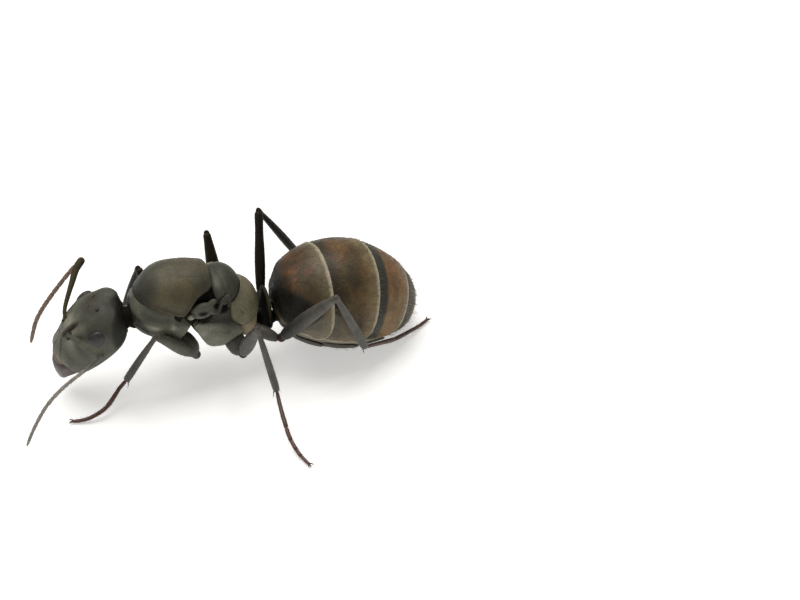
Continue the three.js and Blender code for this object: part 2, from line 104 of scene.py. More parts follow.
def ripple(q, scale, seed, octaves=2):
    """soft organic unevenness between about -1 and 1"""
    rng = np.random.default_rng(seed)
    total = np.zeros(len(q))
    for o in range(octaves):
        for _ in range(4):
            k = rng.normal(size=3)
            k *= scale * (2.0**o) * (0.7 + 0.6 * rng.random()) / np.linalg.norm(k)
            m = rng.normal(size=3)
            m *= 0.6 * scale * (2.0**o) / np.linalg.norm(m)
            a, b = rng.random(2) * 6.28
            total += np.sin(q @ k + a + 1.5 * np.sin(q @ m + b)) * 0.5 ** (o + 1)
    return total / 2.0


# ------------------------------------------------------------------ surfaces of fields
def surface_of(field, low, high, h, block=8, reach=2.2):
    """quads of the zero surface of a field, inside a box, on a grid of pitch h"""
    low = np.asarray(low, float)
    high = np.asarray(high, float)
    nb = np.ceil((high - low) / h / block).astype(int)
    n = nb * block + 1
    side = block * h
    cx = np.stack(np.meshgrid(*[low[k] + (np.arange(nb[k]) + 0.5) * side for k in range(3)], indexing="ij"), -1).reshape(-1, 3)
    fc = field(cx)
    F = np.repeat(np.repeat(np.repeat(fc.reshape(nb), block, 0), block, 1), block, 2)
    F = np.pad(F, ((0, 1), (0, 1), (0, 1)), mode="edge").astype(np.float32)
    busy = np.where(np.abs(fc) < reach * side * 0.87)[0]
    o = np.arange(block + 1)
    off = np.stack(np.meshgrid(o, o, o, indexing="ij"), -1).reshape(-1, 3)
    bi = np.stack(np.unravel_index(busy, nb), 1) * block
    for s in range(0, len(bi), 400):
        idx = (bi[s : s + 400, None, :] + off[None]).reshape(-1, 3)
        F[idx[:, 0], idx[:, 1], idx[:, 2]] = field(low + idx * h)
    inside = F < 0
    corners = [(a, b, c) for a in (0, 1) for b in (0, 1) for c in (0, 1)]
    count = np.zeros(n - 1, np.int8)
    for a, b, c in corners:
        count += inside[a : n[0] - 1 + a, b : n[1] - 1 + b, c : n[2] - 1 + c]
    cells = np.argwhere((count > 0) & (count < 8))
    index = -np.ones(n - 1, np.int32)
    index[cells[:, 0], cells[:, 1], cells[:, 2]] = np.arange(len(cells))
    val = {k: F[cells[:, 0] + k[0], cells[:, 1] + k[1], cells[:, 2] + k[2]] for k in corners}
    total = np.zeros((len(cells), 3))
    hits = np.zeros(len(cells))
    for a in corners:
        for axis in range(3):
            if a[axis]:
                continue
            b = tuple(a[k] + (k == axis) for k in range(3))
            fa, fb = val[a], val[b]
            cut = (fa < 0) != (fb < 0)
            t = np.where(cut, fa / np.where(cut, fa - fb, 1.0), 0.0)
            p = np.array(a, float)[None] + t[:, None] * np.eye(3)[axis][None]
            total += p * cut[:, None]
            hits += cut
    V = low + (cells + total / hits[:, None]) * h
    quads = []
    for axis in range(3):
        u, v = (axis + 1) % 3, (axis + 2) % 3
        lead = [slice(0, n[k]) for k in range(3)]
        lead[axis] = slice(0, n[axis] - 1)
        nxt = [slice(0, n[k]) for k in range(3)]
        nxt[axis] = slice(1, n[axis])
        A, B = inside[tuple(lead)], inside[tuple(nxt)]
        e = np.argwhere(A != B)
        e = e[(e[:, u] > 0) & (e[:, v] > 0) & (e[:, u] < n[u] - 1) & (e[:, v] < n[v] - 1)]
        flip = A[e[:, 0], e[:, 1], e[:, 2]]
        q = []
        for du, dv in ((1, 1), (0, 1), (0, 0), (1, 0)):
            c = e.copy()
            c[:, u] -= du
            c[:, v] -= dv
            q.append(index[c[:, 0], c[:, 1], c[:, 2]])
        q = np.stack(q, 1)
        q[~flip] = q[~flip][:, ::-1]
        quads.append(q)
    quads = np.concatenate(quads)
    quads = quads[(quads >= 0).all(1)]
    # settle the vertices on the true surface
    eps = 0.25 * h
    for _ in range(2):
        f = field(V)
        g = np.stack([field(V + eps * np.eye(3)[k]) - field(V - eps * np.eye(3)[k]) for k in range(3)], 1) / (2 * eps)
        step = -f[:, None] * g / np.maximum((g * g).sum(1), 0.05)[:, None]
        size = np.linalg.norm(step, axis=1)
        step *= np.minimum(1.0, 0.6 * h / np.maximum(size, 1e-9))[:, None]
        V = V + step
    return V, quads


def largest_part(V, quads):
    """drops any crumbs that are not joined to the main surface"""
    label = np.arange(len(V))
    for _ in range(400):
        low = label[quads].min(1)
        new = label.copy()
        np.minimum.at(new, quads.ravel(), np.repeat(low, quads.shape[1]))
        new = new[new]
        if (new == label).all():
            break
        label = new
    names, counts = np.unique(label, return_counts=True)
    keep = label == names[counts.argmax()]
    if keep.all():
        return V, quads
    remap = np.cumsum(keep) - 1
    return V[keep], remap[quads[keep[quads].all(1)]]


def relaxed(V, quads, rounds=1, amount=0.4):
    """evens out the spacing of the vertices a little"""
    for _ in range(rounds):
        total = np.zeros_like(V)
        n = np.zeros(len(V))
        for a, b in ((0, 1), (1, 2), (2, 3), (3, 0)):
            np.add.at(total, quads[:, a], V[quads[:, b]])
            np.add.at(total, quads[:, b], V[quads[:, a]])
            np.add.at(n, quads[:, a], 1)
            np.add.at(n, quads[:, b], 1)
        V = V + amount * (total / n[:, None] - V)
    return V


# ------------------------------------------------------------------ limbs as lofted tubes
def smooth_path(points, n=160):
    """even steps along a smooth curve through the points, with frames that do not twist"""
    P = np.asarray(points, float)
    if len(P) == 2:
        C = P[0] + np.linspace(0, 1, n)[:, None] * (P[1] - P[0])
    else:
        E = np.vstack([2 * P[0] - P[1], P, 2 * P[-1] - P[-2]])
        C = []
        for i in range(len(P) - 1):
            t = np.linspace(0, 1, 24, endpoint=False)[:, None]
            a, b, c, d = E[i : i + 4]
            C.append(0.5 * (2 * b + (c - a) * t + (2 * a - 5 * b + 4 * c - d) * t**2 + (3 * b - a - 3 * c + d) * t**3))
        C = np.vstack(C + [P[-1:]])
        s = np.concatenate([[0], np.cumsum(np.linalg.norm(np.diff(C, axis=0), axis=1))])
        u = np.linspace(0, s[-1], n)
        C = np.stack([np.interp(u, s, C[:, k]) for k in range(3)], 1)
    T = np.gradient(C, axis=0)
    T /= np.linalg.norm(T, axis=1)[:, None]
    start = np.array([0.0, 0.0, 1.0])
    if abs(T[0] @ start) > 0.9:
        start = np.array([1.0, 0.0, 0.0])
    N = np.zeros_like(C)
    N[0] = start - T[0] * (start @ T[0])
    N[0] /= np.linalg.norm(N[0])
    for i in range(1, n):
        v = N[i - 1] - T[i] * (N[i - 1] @ T[i])
        N[i] = v / np.linalg.norm(v)
    return C, T, N, np.cross(T, N), float(np.linalg.norm(np.diff(C, axis=0), axis=1).sum())


def loft(points, rows, sides=20, flat=1.0, flat_axis=None):
    """closed tube: rows are (share of the length, half thickness); the first and last are its poles"""
    C, T, N, B, length = smooth_path(points)
    if flat_axis is not None:
        a = np.asarray(flat_axis, float)
        N = a - T * (T @ a)[:, None]
        N /= np.linalg.norm(N, axis=1)[:, None]
        B = np.cross(T, N)
    rows = np.asarray(rows, float)
    s = np.linspace(0, 1, len(C))

    def at(A, u):
        return np.stack([np.interp(u, s, A[:, k]) for k in range(3)], 1)

    u, r = rows[:, 0], rows[:, 1]
    c, nn, bb = at(C, u), at(N, u), at(B, u)
    ang = np.linspace(0, 2 * np.pi, sides, endpoint=False)
    ring = np.cos(ang)[None, :, None] * nn[1:-1, None, :] * flat + np.sin(ang)[None, :, None] * bb[1:-1, None, :]
    body = c[1:-1, None, :] + r[1:-1, None, None] * ring
    m = len(u) - 2
    V = np.vstack([c[:1], body.reshape(-1, 3), c[-1:]])
    j = np.arange(sides)
    k = (j + 1) % sides
    first = 1
    quads = []
    for i in range(m - 1):
        a = first + i * sides
        quads.append(np.stack([a + j, a + k, a + sides + k, a + sides + j], 1))
    quads = np.vstack(quads)
    tris = np.vstack([
        np.stack([np.zeros_like(j), first + k, first + j], 1),
        np.stack([np.full_like(j, len(V) - 1), first + (m - 1) * sides + j, first + (m - 1) * sides + k], 1),
    ])
    along = np.concatenate([[u[0]], np.repeat(u[1:-1], sides), [u[-1]]])
    round_ = np.concatenate([[0.0], np.tile(ang / (2 * np.pi), m), [0.0]])
    return V, quads, tris, along, round_, length


def rounded_rows(pairs, length, n=26, ends=(1.0, 1.0)):
    """rows of a limb whose half thickness follows (share, value) pairs, with round ends"""
    pairs = np.asarray(pairs, float)
    c0 = ends[0] * pairs[0, 1] / length
    c1 = ends[1] * pairs[-1, 1] / length
    a = np.linspace(0, np.pi / 2, 7)
    t = np.concatenate([c0 * (1 - np.cos(a)), np.linspace(c0, 1 - c1, n)[1:-1], 1 - c1 * (1 - np.cos(a[::-1]))])
    r = table(pairs, t, 1)
    r = r * np.sqrt(np.clip(1 - np.clip((c0 - t) / max(c0, 1e-9), 0, 1) ** 2, 0, 1))
    r = r * np.sqrt(np.clip(1 - np.clip((t - 1 + c1) / max(c1, 1e-9), 0, 1) ** 2, 0, 1))
    r[0] = r[-1] = 0.0
    return np.stack([t, r], 1)


def jointed_rows(cuts, thick, neck=0.7, shoulder=0.12):
    """rows of a limb of several short segments: each is narrow at its base and widest near its end"""
    rows = [[cuts[0], 0.0]]
    local = [(0.0, neck), (0.035, neck + 0.02), (0.09, 0.86), (shoulder + 0.04, 0.95), (0.35, 0.97), (0.62, 1.0), (0.85, 1.03), (0.94, 1.0), (0.975, 0.9), (0.995, neck + 0.04)]
    for i in range(len(cuts) - 1):
        a, b = cuts[i], cuts[i + 1]
        for x, k in local:
            u = a + (b - a) * x
            rows.append([u + 1e-4, k * float(table(thick, np.array([u]), 1)[0])])
    end = float(table(thick, np.array([cuts[-1]]), 1)[0])
    d = 0.006
    rows[-1] = [cuts[-1] - d * 1.6, 0.92 * end]
    rows += [[cuts[-1] - d * 0.7, 0.72 * end], [cuts[-1] - d * 0.2, 0.4 * end], [cuts[-1], 0.0]]
    return np.array(rows)


def joined(parts):
    """one set of vertices, quads and triangles out of several lofts; values are joined too"""
    V, Q, T, extra = [], [], [], []
    n = 0
    for v, q, t, *e in parts:
        V.append(v)
        Q.append(np.asarray(q, int).reshape(-1, 4) + n)
        T.append(np.asarray(t, int).reshape(-1, 3) + n)
        extra.append(e)
        n += len(v)
    out = [np.vstack(V), np.vstack(Q), np.vstack(T)]
    for k in range(min(len(e) for e in extra)):
        out.append(np.concatenate([e[k] for e in extra]))
    return out


# ------------------------------------------------------------------ pieces
def piece(name, V, quads, tris, material, nodes=(), values=None, soft=True):
    """a mesh object in the frame, in metres, riding on the one body"""
    quads = np.asarray(quads, np.int32).reshape(-1, 4)
    tris = np.zeros((0, 3), np.int32) if tris is None else np.asarray(tris, np.int32).reshape(-1, 3)
    assert np.isfinite(V).all(), name
    every = np.vstack([quads[:, [0, 1, 2]], quads[:, [0, 2, 3]], tris])
    if (V[every[:, 0]] * np.cross(V[every[:, 1]], V[every[:, 2]])).sum() < 0:
        quads, tris = quads[:, ::-1], tris[:, ::-1]
    me = bpy.data.meshes.new(name)
    co = ((V - SHIFT) * MM).astype(np.float32)
    me.vertices.add(len(co))
    me.vertices.foreach_set("co", co.ravel())
    loops = np.concatenate([quads.ravel(), tris.ravel()]).astype(np.int32)
    starts = np.concatenate([np.arange(len(quads)) * 4, len(quads) * 4 + np.arange(len(tris)) * 3]).astype(np.int32)
    me.loops.add(len(loops))
    me.loops.foreach_set("vertex_index", loops)
    me.polygons.add(len(starts))
    me.polygons.foreach_set("loop_start", starts)
    me.update(calc_edges=True)
    me.validate()
    me.polygons.foreach_set("use_smooth", np.full(len(me.polygons), soft))
    for key, value in (values or {}).items():
        a = me.attributes.new(key, "FLOAT", "POINT")
        a.data.foreach_set("value", np.asarray(value, np.float32))
    ob = bpy.data.objects.new(name, me)
    bpy.context.scene.collection.objects.link(ob)
    me.materials.append(material)
    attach(ob, "root")
    if nodes:
        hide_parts(*nodes)
    return ob


# ------------------------------------------------------------------ materials
class Graph:
    def __init__(self, name):
        self.material = bpy.data.materials.new(name)
        self.material.use_nodes = True
        self.tree = self.material.node_tree
        self.tree.nodes.clear()
        self.out = self.tree.nodes.new("ShaderNodeOutputMaterial")
        self.shader = self.tree.nodes.new("ShaderNodeBsdfPrincipled")
        self.tree.links.new(self.shader.outputs[0], self.out.inputs["Surface"])
        co = self.tree.nodes.new("ShaderNodeTexCoord")
        scale = self.tree.nodes.new("ShaderNodeVectorMath")
        scale.operation = "SCALE"
        scale.inputs["Scale"].default_value = 1000.0
        self.tree.links.new(co.outputs["Object"], scale.inputs[0])
        self.mm = scale.outputs[0]

    def link(self, a, b):
        self.tree.links.new(a, b)

    def set(self, socket, value):
        if isinstance(value, bpy.types.NodeSocket):
            self.link(value, socket)
        elif isinstance(value, (tuple, list)):
            socket.default_value = (*value, 1.0) if len(value) == 3 and socket.type == "RGBA" else value
        else:
            socket.default_value = value

    def attribute(self, name):
        n = self.tree.nodes.new("ShaderNodeAttribute")
        n.attribute_name = name
        return n.outputs["Fac"]

    def noise(self, scale, detail=3.0, rough=0.5, distortion=0.0, stretch=None):
        n = self.tree.nodes.new("ShaderNodeTexNoise")
        n.inputs["Scale"].default_value = scale
        n.inputs["Detail"].default_value = detail
        n.inputs["Roughness"].default_value = rough
        n.inputs["Distortion"].default_value = distortion
        v = self.mm
        if stretch:
            m = self.tree.nodes.new("ShaderNodeVectorMath")
            m.operation = "MULTIPLY"
            m.inputs[1].default_value = stretch
            self.link(v, m.inputs[0])
            v = m.outputs[0]
        self.link(v, n.inputs["Vector"])
        return n.outputs["Fac"]

    def voronoi(self, scale, feature="F1", randomness=1.0):
        n = self.tree.nodes.new("ShaderNodeTexVoronoi")
        n.feature = feature
        n.inputs["Scale"].default_value = scale
        n.inputs["Randomness"].default_value = randomness
        self.link(self.mm, n.inputs["Vector"])
        return n.outputs["Distance"]

    def ramp(self, fac, stops, smooth=True):
        n = self.tree.nodes.new("ShaderNodeValToRGB")
        n.color_ramp.interpolation = "EASE" if smooth else "LINEAR"
        e = n.color_ramp.elements
        while len(e) < len(stops):
            e.new(0.5)
        for el, (p, c) in zip(e, stops):
            el.position = p
            el.color = (*c, 1.0) if len(c) == 3 else c
        self.link(fac, n.inputs[0])
        return n.outputs["Color"]

    def scalar(self, fac, a, b, lo=0.0, hi=1.0):
        n = self.tree.nodes.new("ShaderNodeMapRange")
        n.inputs["From Min"].default_value = a
        n.inputs["From Max"].default_value = b
        n.inputs["To Min"].default_value = lo
        n.inputs["To Max"].default_value = hi
        self.link(fac, n.inputs["Value"])
        return n.outputs["Result"]

    def mix(self, fac, a, b, mode="MIX"):
        n = self.tree.nodes.new("ShaderNodeMix")
        n.data_type = "RGBA"
        n.blend_type = mode
        self.set(n.inputs["Factor"], fac)
        self.set(n.inputs["A"], a)
        self.set(n.inputs["B"], b)
        return n.outputs["Result"]

    def math(self, op, a, b=0.0, clamp=False):
        n = self.tree.nodes.new("ShaderNodeMath")
        n.operation = op
        n.use_clamp = clamp
        self.set(n.inputs[0], a)
        self.set(n.inputs[1], b)
        return n.outputs[0]

    def shade(self, colour, amount):
        """colour times a number"""
        n = self.tree.nodes.new("ShaderNodeVectorMath")
        n.operation = "SCALE"
        self.link(colour, n.inputs[0])
        self.set(n.inputs["Scale"], amount)
        return n.outputs[0]

    def finish(self, colour, rough, height=None, strength=0.4, depth=0.012, specular=0.5, sheen=0.0, sheen_rough=0.4, sheen_tint=(1, 1, 1), coat=0.0, coat_rough=0.3, ior=1.5):
        s = self.shader.inputs
        self.set(s["Base Color"], colour)
        self.set(s["Roughness"], rough)
        s["Specular IOR Level"].default_value = specular
        s["IOR"].default_value = ior
        s["Sheen Weight"].default_value = sheen
        s["Sheen Roughness"].default_value = sheen_rough
        s["Sheen Tint"].default_value = (*sheen_tint, 1.0)
        s["Coat Weight"].default_value = coat
        s["Coat Roughness"].default_value = coat_rough
        if height is not None:
            b = self.tree.nodes.new("ShaderNodeBump")
            b.inputs["Strength"].default_value = strength
            b.inputs["Distance"].default_value = depth * MM
            self.link(height, b.inputs["Height"])
            self.link(b.outputs[0], s["Normal"])
        return self.material


def cuticle(name, dark, light, warm, rough=0.5, patch=0.9, grain=12.0, sheen=0.0, strength=0.35, specular=0.5):
    """dull body shell: dark and light tones in soft patches, leathery grain, fine punctures"""
    g = Graph(name)
    tone = g.scalar(g.noise(patch, 3.0, 0.55, 0.6), 0.36, 0.66)
    colour = g.mix(tone, dark, light)
    colour = g.mix(g.attribute("warm"), colour, warm)
    speck = g.scalar(g.noise(14.0, 2.0), 0.3, 0.7, 0.84, 1.16)
    colour = g.shade(colour, g.math("MULTIPLY", g.attribute("shade"), speck))
    fine = g.voronoi(grain, "F1", 0.9)
    leather = g.noise(grain * 2.4, 3.0, 0.6)
    height = g.math("ADD", g.math("MULTIPLY", fine, 0.55), g.math("MULTIPLY", leather, 0.6))
    r = g.scalar(g.noise(2.2, 3.0), 0.3, 0.7, rough - 0.07, rough + 0.09)
    return g.finish(colour, r, height, strength, 0.012, specular, sheen, 0.45)


def gaster_skin(name, front, body, rear, blotch, band=None, pale=(0.52, 0.47, 0.34), straw=(0.22, 0.18, 0.10), rough=0.50, line=0.07, haze=0.42):
    """a gaster plate: along runs from 0 at its covered front to 1 at its rear edge, the dark mask marks where it is
    darkest, in the plate's own dark colour and, on the first plate, as painted shade; a grey mix paints light from the
    floor below; rim is the distance in mm to the pale free edge"""
    g = Graph(name)
    along, dark_colour_and_shade, rim = g.attribute("along"), g.attribute("dark_colour_and_shade"), g.attribute("rim")
    clouds = g.noise(0.85, 4.0, 0.62, 1.0)
    wander = g.math("ADD", along, g.scalar(clouds, 0.3, 0.7, -0.06, 0.06))
    colour = g.ramp(wander, [(0.0, body), (0.55, body), (0.95, rear), (1.0, rear)])
    spots = g.scalar(g.noise(0.62, 3.0, 0.6, 1.2), 0.50, 0.66)
    colour = g.mix(g.math("MULTIPLY", spots, 0.8), colour, blotch)
    dark = g.math("ADD", dark_colour_and_shade, g.scalar(clouds, 0.32, 0.68, -0.16, 0.16), True)
    colour = g.mix(dark, colour, front)
    if band:
        edge = g.scalar(g.math("ADD", along, g.scalar(g.noise(4.0, 2.0), 0.3, 0.7, -0.012, 0.012)), band - 0.03, band + 0.06, 1.0, 0.0)
        colour = g.mix(edge, colour, front)
    tone = g.scalar(g.noise(1.4, 4.0, 0.6, 0.8), 0.33, 0.68, 0.66, 1.34)
    fine = g.scalar(g.noise(16.0, 2.0), 0.3, 0.7, 0.86, 1.14)
    colour = g.shade(colour, g.math("MULTIPLY", tone, g.math("MULTIPLY", fine, g.attribute("shade"))))
    # painted light from the floor below, mixed in as a pale grey
    colour = g.mix(g.attribute("painted_bounce_light"), colour, (0.175, 0.160, 0.120))
    ragged = g.math("ADD", rim, g.scalar(g.noise(7.0, 2.0), 0.3, 0.7, -0.02, 0.02))
    colour = g.mix(g.scalar(ragged, 0.10, haze, 0.55, 0.0), colour, straw)
    colour = g.mix(g.scalar(ragged, line - 0.03, line + 0.07, 0.97, 0.0), colour, pale)
    creases = g.scalar(g.noise(0.8, 2.0, 0.5, 1.6), 0.485, 0.515)
    height = g.math("ADD", g.math("MULTIPLY", g.voronoi(9.0, "F1", 0.9), 0.5), g.math("MULTIPLY", g.noise(26.0, 3.0, 0.6), 0.5))
    height = g.math("ADD", height, g.math("MULTIPLY", creases, 0.5))
    r = g.scalar(g.noise(1.8, 3.0), 0.3, 0.7, rough - 0.06, rough + 0.1)
    return g.finish(colour, r, height, 0.25, 0.012, 0.32, 0.0)


def hair_skin(name, root, tip, rough=0.45):
    g = Graph(name)
    colour = g.mix(g.attribute("along"), root, tip)
    colour = g.shade(colour, g.scalar(g.noise(3.0, 1.0), 0.3, 0.7, 0.8, 1.25))
    return g.finish(colour, rough, None, specular=0.6)


SHELL = cuticle("shell_dull", (0.047, 0.047, 0.034), (0.086, 0.084, 0.062), (0.11, 0.045, 0.022), 0.56, 0.9, 12.0, 0.0, 0.35, 0.36)
SHELL_TOP = cuticle("shell_scutum", (0.034, 0.038, 0.032), (0.088, 0.071, 0.034), (0.10, 0.04, 0.015), 0.52, 0.62, 13.0, 0.0, 0.35, 0.36)
SHELL_PALE = cuticle("shell_propodeum", (0.100, 0.091, 0.054), (0.155, 0.140, 0.084), (0.22, 0.13, 0.085), 0.56, 0.9, 12.0, 0.0, 0.35, 0.36)
# near black, far darker than the rest of the shell: painted shade on the petiole between thorax and gaster
SHELL_DEEP = cuticle("shell_petiole", (0.0025, 0.0025, 0.0015), (0.005, 0.005, 0.0025), (0.04, 0.02, 0.01), 0.7, 0.9, 12.0, 0.0, 0.35, 0.06)
# near-black soft skin: painted shade where it shows in the seams of the thorax and at the neck
MEMBRANE_SHADED = cuticle("soft_joint_and_seam_shade", (0.006, 0.006, 0.004), (0.012, 0.011, 0.006), (0.03, 0.02, 0.010), 0.75, 0.9, 12.0, 0.0, 0.3, 0.08)
# the dark and the grey limb materials are shaded and lit copies of one leg cuticle: the legs on the far side take the
# dark one, painted shade
LIMB = cuticle("limb_dark", (0.009, 0.007, 0.004), (0.018, 0.013, 0.007), (0.07, 0.03, 0.016), 0.5, 1.3, 15.0, 0.0, 0.35, 0.18)
LIMB_GREY = cuticle("limb_grey", (0.050, 0.047, 0.038), (0.083, 0.076, 0.063), (0.12, 0.055, 0.04), 0.5, 1.3, 15.0, 0.0, 0.35, 0.4)
SCAPE = cuticle("scape_dull", (0.066, 0.065, 0.050), (0.094, 0.092, 0.070), (0.085, 0.062, 0.026), 0.7, 1.3, 15.0, 0.0, 0.3, 0.12)
FOOT = cuticle("foot_brown", (0.050, 0.030, 0.022), (0.085, 0.050, 0.037), (0.13, 0.045, 0.028), 0.4, 2.2, 18.0, 0.0)
FEELER = cuticle("feeler_brown", (0.088, 0.083, 0.074), (0.132, 0.124, 0.111), (0.16, 0.088, 0.050), 0.42, 1.6, 18.0, 0.0)
JAW = cuticle("jaw_red", (0.032, 0.017, 0.015), (0.060, 0.034, 0.030), (0.08, 0.028, 0.020), 0.42, 1.6, 9.0, 0.0, 0.3, 0.4)
CLAW = cuticle("claw_amber", (0.06, 0.03, 0.015), (0.11, 0.055, 0.025), (0.15, 0.07, 0.035), 0.3, 3.0, 9.0, 0.0)

GASTER_SKINS = [
    # the first plate's near-black front colour is painted shade on the front of the plate, over its own dark colour
    gaster_skin("gaster_plate_1", (0.0035, 0.0035, 0.0018), (0.062, 0.038, 0.015), (0.085, 0.062, 0.030), (0.17, 0.062, 0.018), line=0.06, haze=0.50),
    gaster_skin("gaster_plate_2", (0.020, 0.015, 0.006), (0.098, 0.068, 0.029), (0.215, 0.158, 0.074), (0.16, 0.080, 0.030), haze=0.55),
    gaster_skin("gaster_plate_3", (0.030, 0.031, 0.023), (0.205, 0.122, 0.044), (0.20, 0.138, 0.062), (0.22, 0.095, 0.030), 0.235),
    gaster_skin("gaster_plate_4", (0.024, 0.018, 0.008), (0.090, 0.062, 0.026), (0.095, 0.068, 0.030), (0.10, 0.055, 0.020), 0.34),
    gaster_skin("gaster_plate_5", (0.030, 0.022, 0.010), (0.080, 0.054, 0.023), (0.080, 0.054, 0.024), (0.10, 0.055, 0.020)),
]
BELLY = gaster_skin("gaster_belly", (0.030, 0.027, 0.018), (0.060, 0.054, 0.036), (0.085, 0.075, 0.050), (0.07, 0.05, 0.03), pale=(0.16, 0.14, 0.10), straw=(0.12, 0.10, 0.07))
DOWN = hair_skin("down_silver", (0.035, 0.030, 0.018), (0.095, 0.080, 0.050))
SETA = hair_skin("setae_gold", (0.10, 0.075, 0.035), (0.28, 0.22, 0.12), 0.35)


def soft_skin():
    """pale, finely folded skin between the hard plates of the gaster"""
    g = Graph("gaster_soft_skin")
    colour = g.mix(g.scalar(g.noise(2.0, 3.0), 0.35, 0.65), (0.15, 0.135, 0.10), (0.21, 0.19, 0.145))
    colour = g.shade(colour, g.attribute("shade"))
    folds = g.noise(3.0, 3.0, 0.6, 0.5, (4.0, 1.0, 1.0))
    return g.finish(colour, 0.45, folds, 0.5, 0.03, 0.5)


SOFT = soft_skin()


def eye_skin():
    """dark dome of fine facets"""
    g = Graph("eye_facets")
    cell = g.voronoi(36.0, "F1", 0.12)
    colour = g.mix(g.scalar(g.noise(2.0, 2.0), 0.35, 0.65), (0.028, 0.029, 0.026), (0.042, 0.043, 0.040))
    colour = g.mix(g.scalar(cell, 0.35, 0.62), colour, (0.016, 0.016, 0.015))
    return g.finish(colour, 0.42, g.scalar(cell, 0.0, 0.6, 1.0, 0.0), 0.4, 0.012, 0.5, 0.0)


def ocellus_skin():
    g = Graph("ocellus_amber")
    colour = g.mix(g.scalar(g.noise(6.0, 2.0), 0.35, 0.65), (0.020, 0.017, 0.010), (0.034, 0.028, 0.018))
    colour = g.shade(colour, g.attribute("shade"))
    return g.finish(colour, 0.45, g.noise(20.0, 2.0), 0.05, 0.004, 0.3, 0.0)


EYE = eye_skin()
OCELLUS = ocellus_skin()


# ------------------------------------------------------------------ head
HEAD_CENTRE = np.array([-4.357, 0.025, 2.951])


def head_axes(pitch=48.3, yaw=7.9, roll=7.9):
    a, b, c = (math.radians(v) for v in (pitch, yaw, roll))
    f = np.array([-math.cos(a) * math.cos(b), math.cos(a) * math.sin(b), -math.sin(a)])
    s = np.array([math.sin(b), math.cos(b), 0.0])
    o = np.cross(s, f)

    def spin(v):
        return v * math.cos(-c) + np.cross(f, v) * math.sin(-c) + f * (f @ v) * (1 - math.cos(-c))

    return np.stack([f, spin(s), spin(o)], 1)


HEAD_AXES = head_axes()
HEAD = np.array([[-1.92, 1.04, 0.86, 0.55], [-1.55, 1.24, 1.05, 0.70], [-1.04, 1.44, 1.26, 0.82], [-0.31, 1.5, 1.41, 0.87], [0.52, 1.37, 1.38, 0.8], [1.25, 1.18, 1.18, 0.64], [1.82, 0.97, 0.98, 0.42]])
EYE_AT, EYE_TILT, EYE_R = np.array([-0.5, 1.27, 0.72]), 0.47, np.array([0.42, 0.20, 0.32])
OCELLI = np.array([[-0.98, 0.0, 1.28], [-1.3, 0.43, 1.12], [-1.3, -0.43, 1.12]])
CARINA = np.array([[-0.8, 0.53], [-0.5, 0.45], [-0.24, 0.35], [0.08, 0.285], [0.3, 0.235], [0.5, 0.20], [0.75, 0.17], [1.0, 0.15]])


def from_head(q):
    return q @ HEAD_AXES.T + HEAD_CENTRE


def to_head(p):
    return (p - HEAD_CENTRE) @ HEAD_AXES


def capsule_value(q):
    x, y, z = q.T
    far = ease(y, -0.1, 0.5)
    w = table(HEAD, x, 1) * (1 - far * 0.10 * bell(x + 1.25, 0.5))
    h = np.where(z > 0, table(HEAD, x, 2), table(HEAD, x, 3))
    r = (np.abs(y / w) ** 2.35 + np.abs(z / h) ** 2.35) ** (1 / 2.35)
    rear = np.clip((HEAD[0, 0] + 0.75 - 0.2 * far - x) / 0.75, 0, None)
    front = np.clip((x - HEAD[-1, 0] + 0.34) / 0.34, 0, None)
    return (r**2.4 + rear**2.4 + front**2.3) ** (1 / 2.4) - 1.0


def capsule(q):
    e = 2e-3
    f = capsule_value(q)
    g = np.stack([capsule_value(q + e * np.eye(3)[k]) - f for k in range(3)], 1) / e
    return f / np.maximum(np.linalg.norm(g, axis=1), 0.35)


def eye_frame(q, sign):
    return turned(q, EYE_AT * np.array([1, sign, 1]), "x", sign * math.degrees(EYE_TILT))


def face_marks(q):
    """the features of the face as shares: carina offset, clypeus edge, socket distance"""
    x, y, z = q.T
    ay = np.abs(y)
    face = ease(z, 0.1, 0.45)
    t = ay - table(CARINA, x, 1)
    half = np.interp(x, [0.72, 0.95, 1.25, 1.6, 1.95], [0.18, 0.40, 0.62, 0.74, 0.76])
    edge = smax(ay - half, 0.8 - x, 0.08)
    rs = np.sqrt((x - 0.42) ** 2 + (ay - 0.47) ** 2)
    return face, t, edge, rs


def nape_side(q):
    """positive behind the edge between the crown and the back of the head"""
    x, y, z = q.T
    return -(x + 1.90 + 0.2 * ease(y, -0.1, 0.5) - 0.40 * y * y) * 0.86 - (z - 0.35) * 0.51


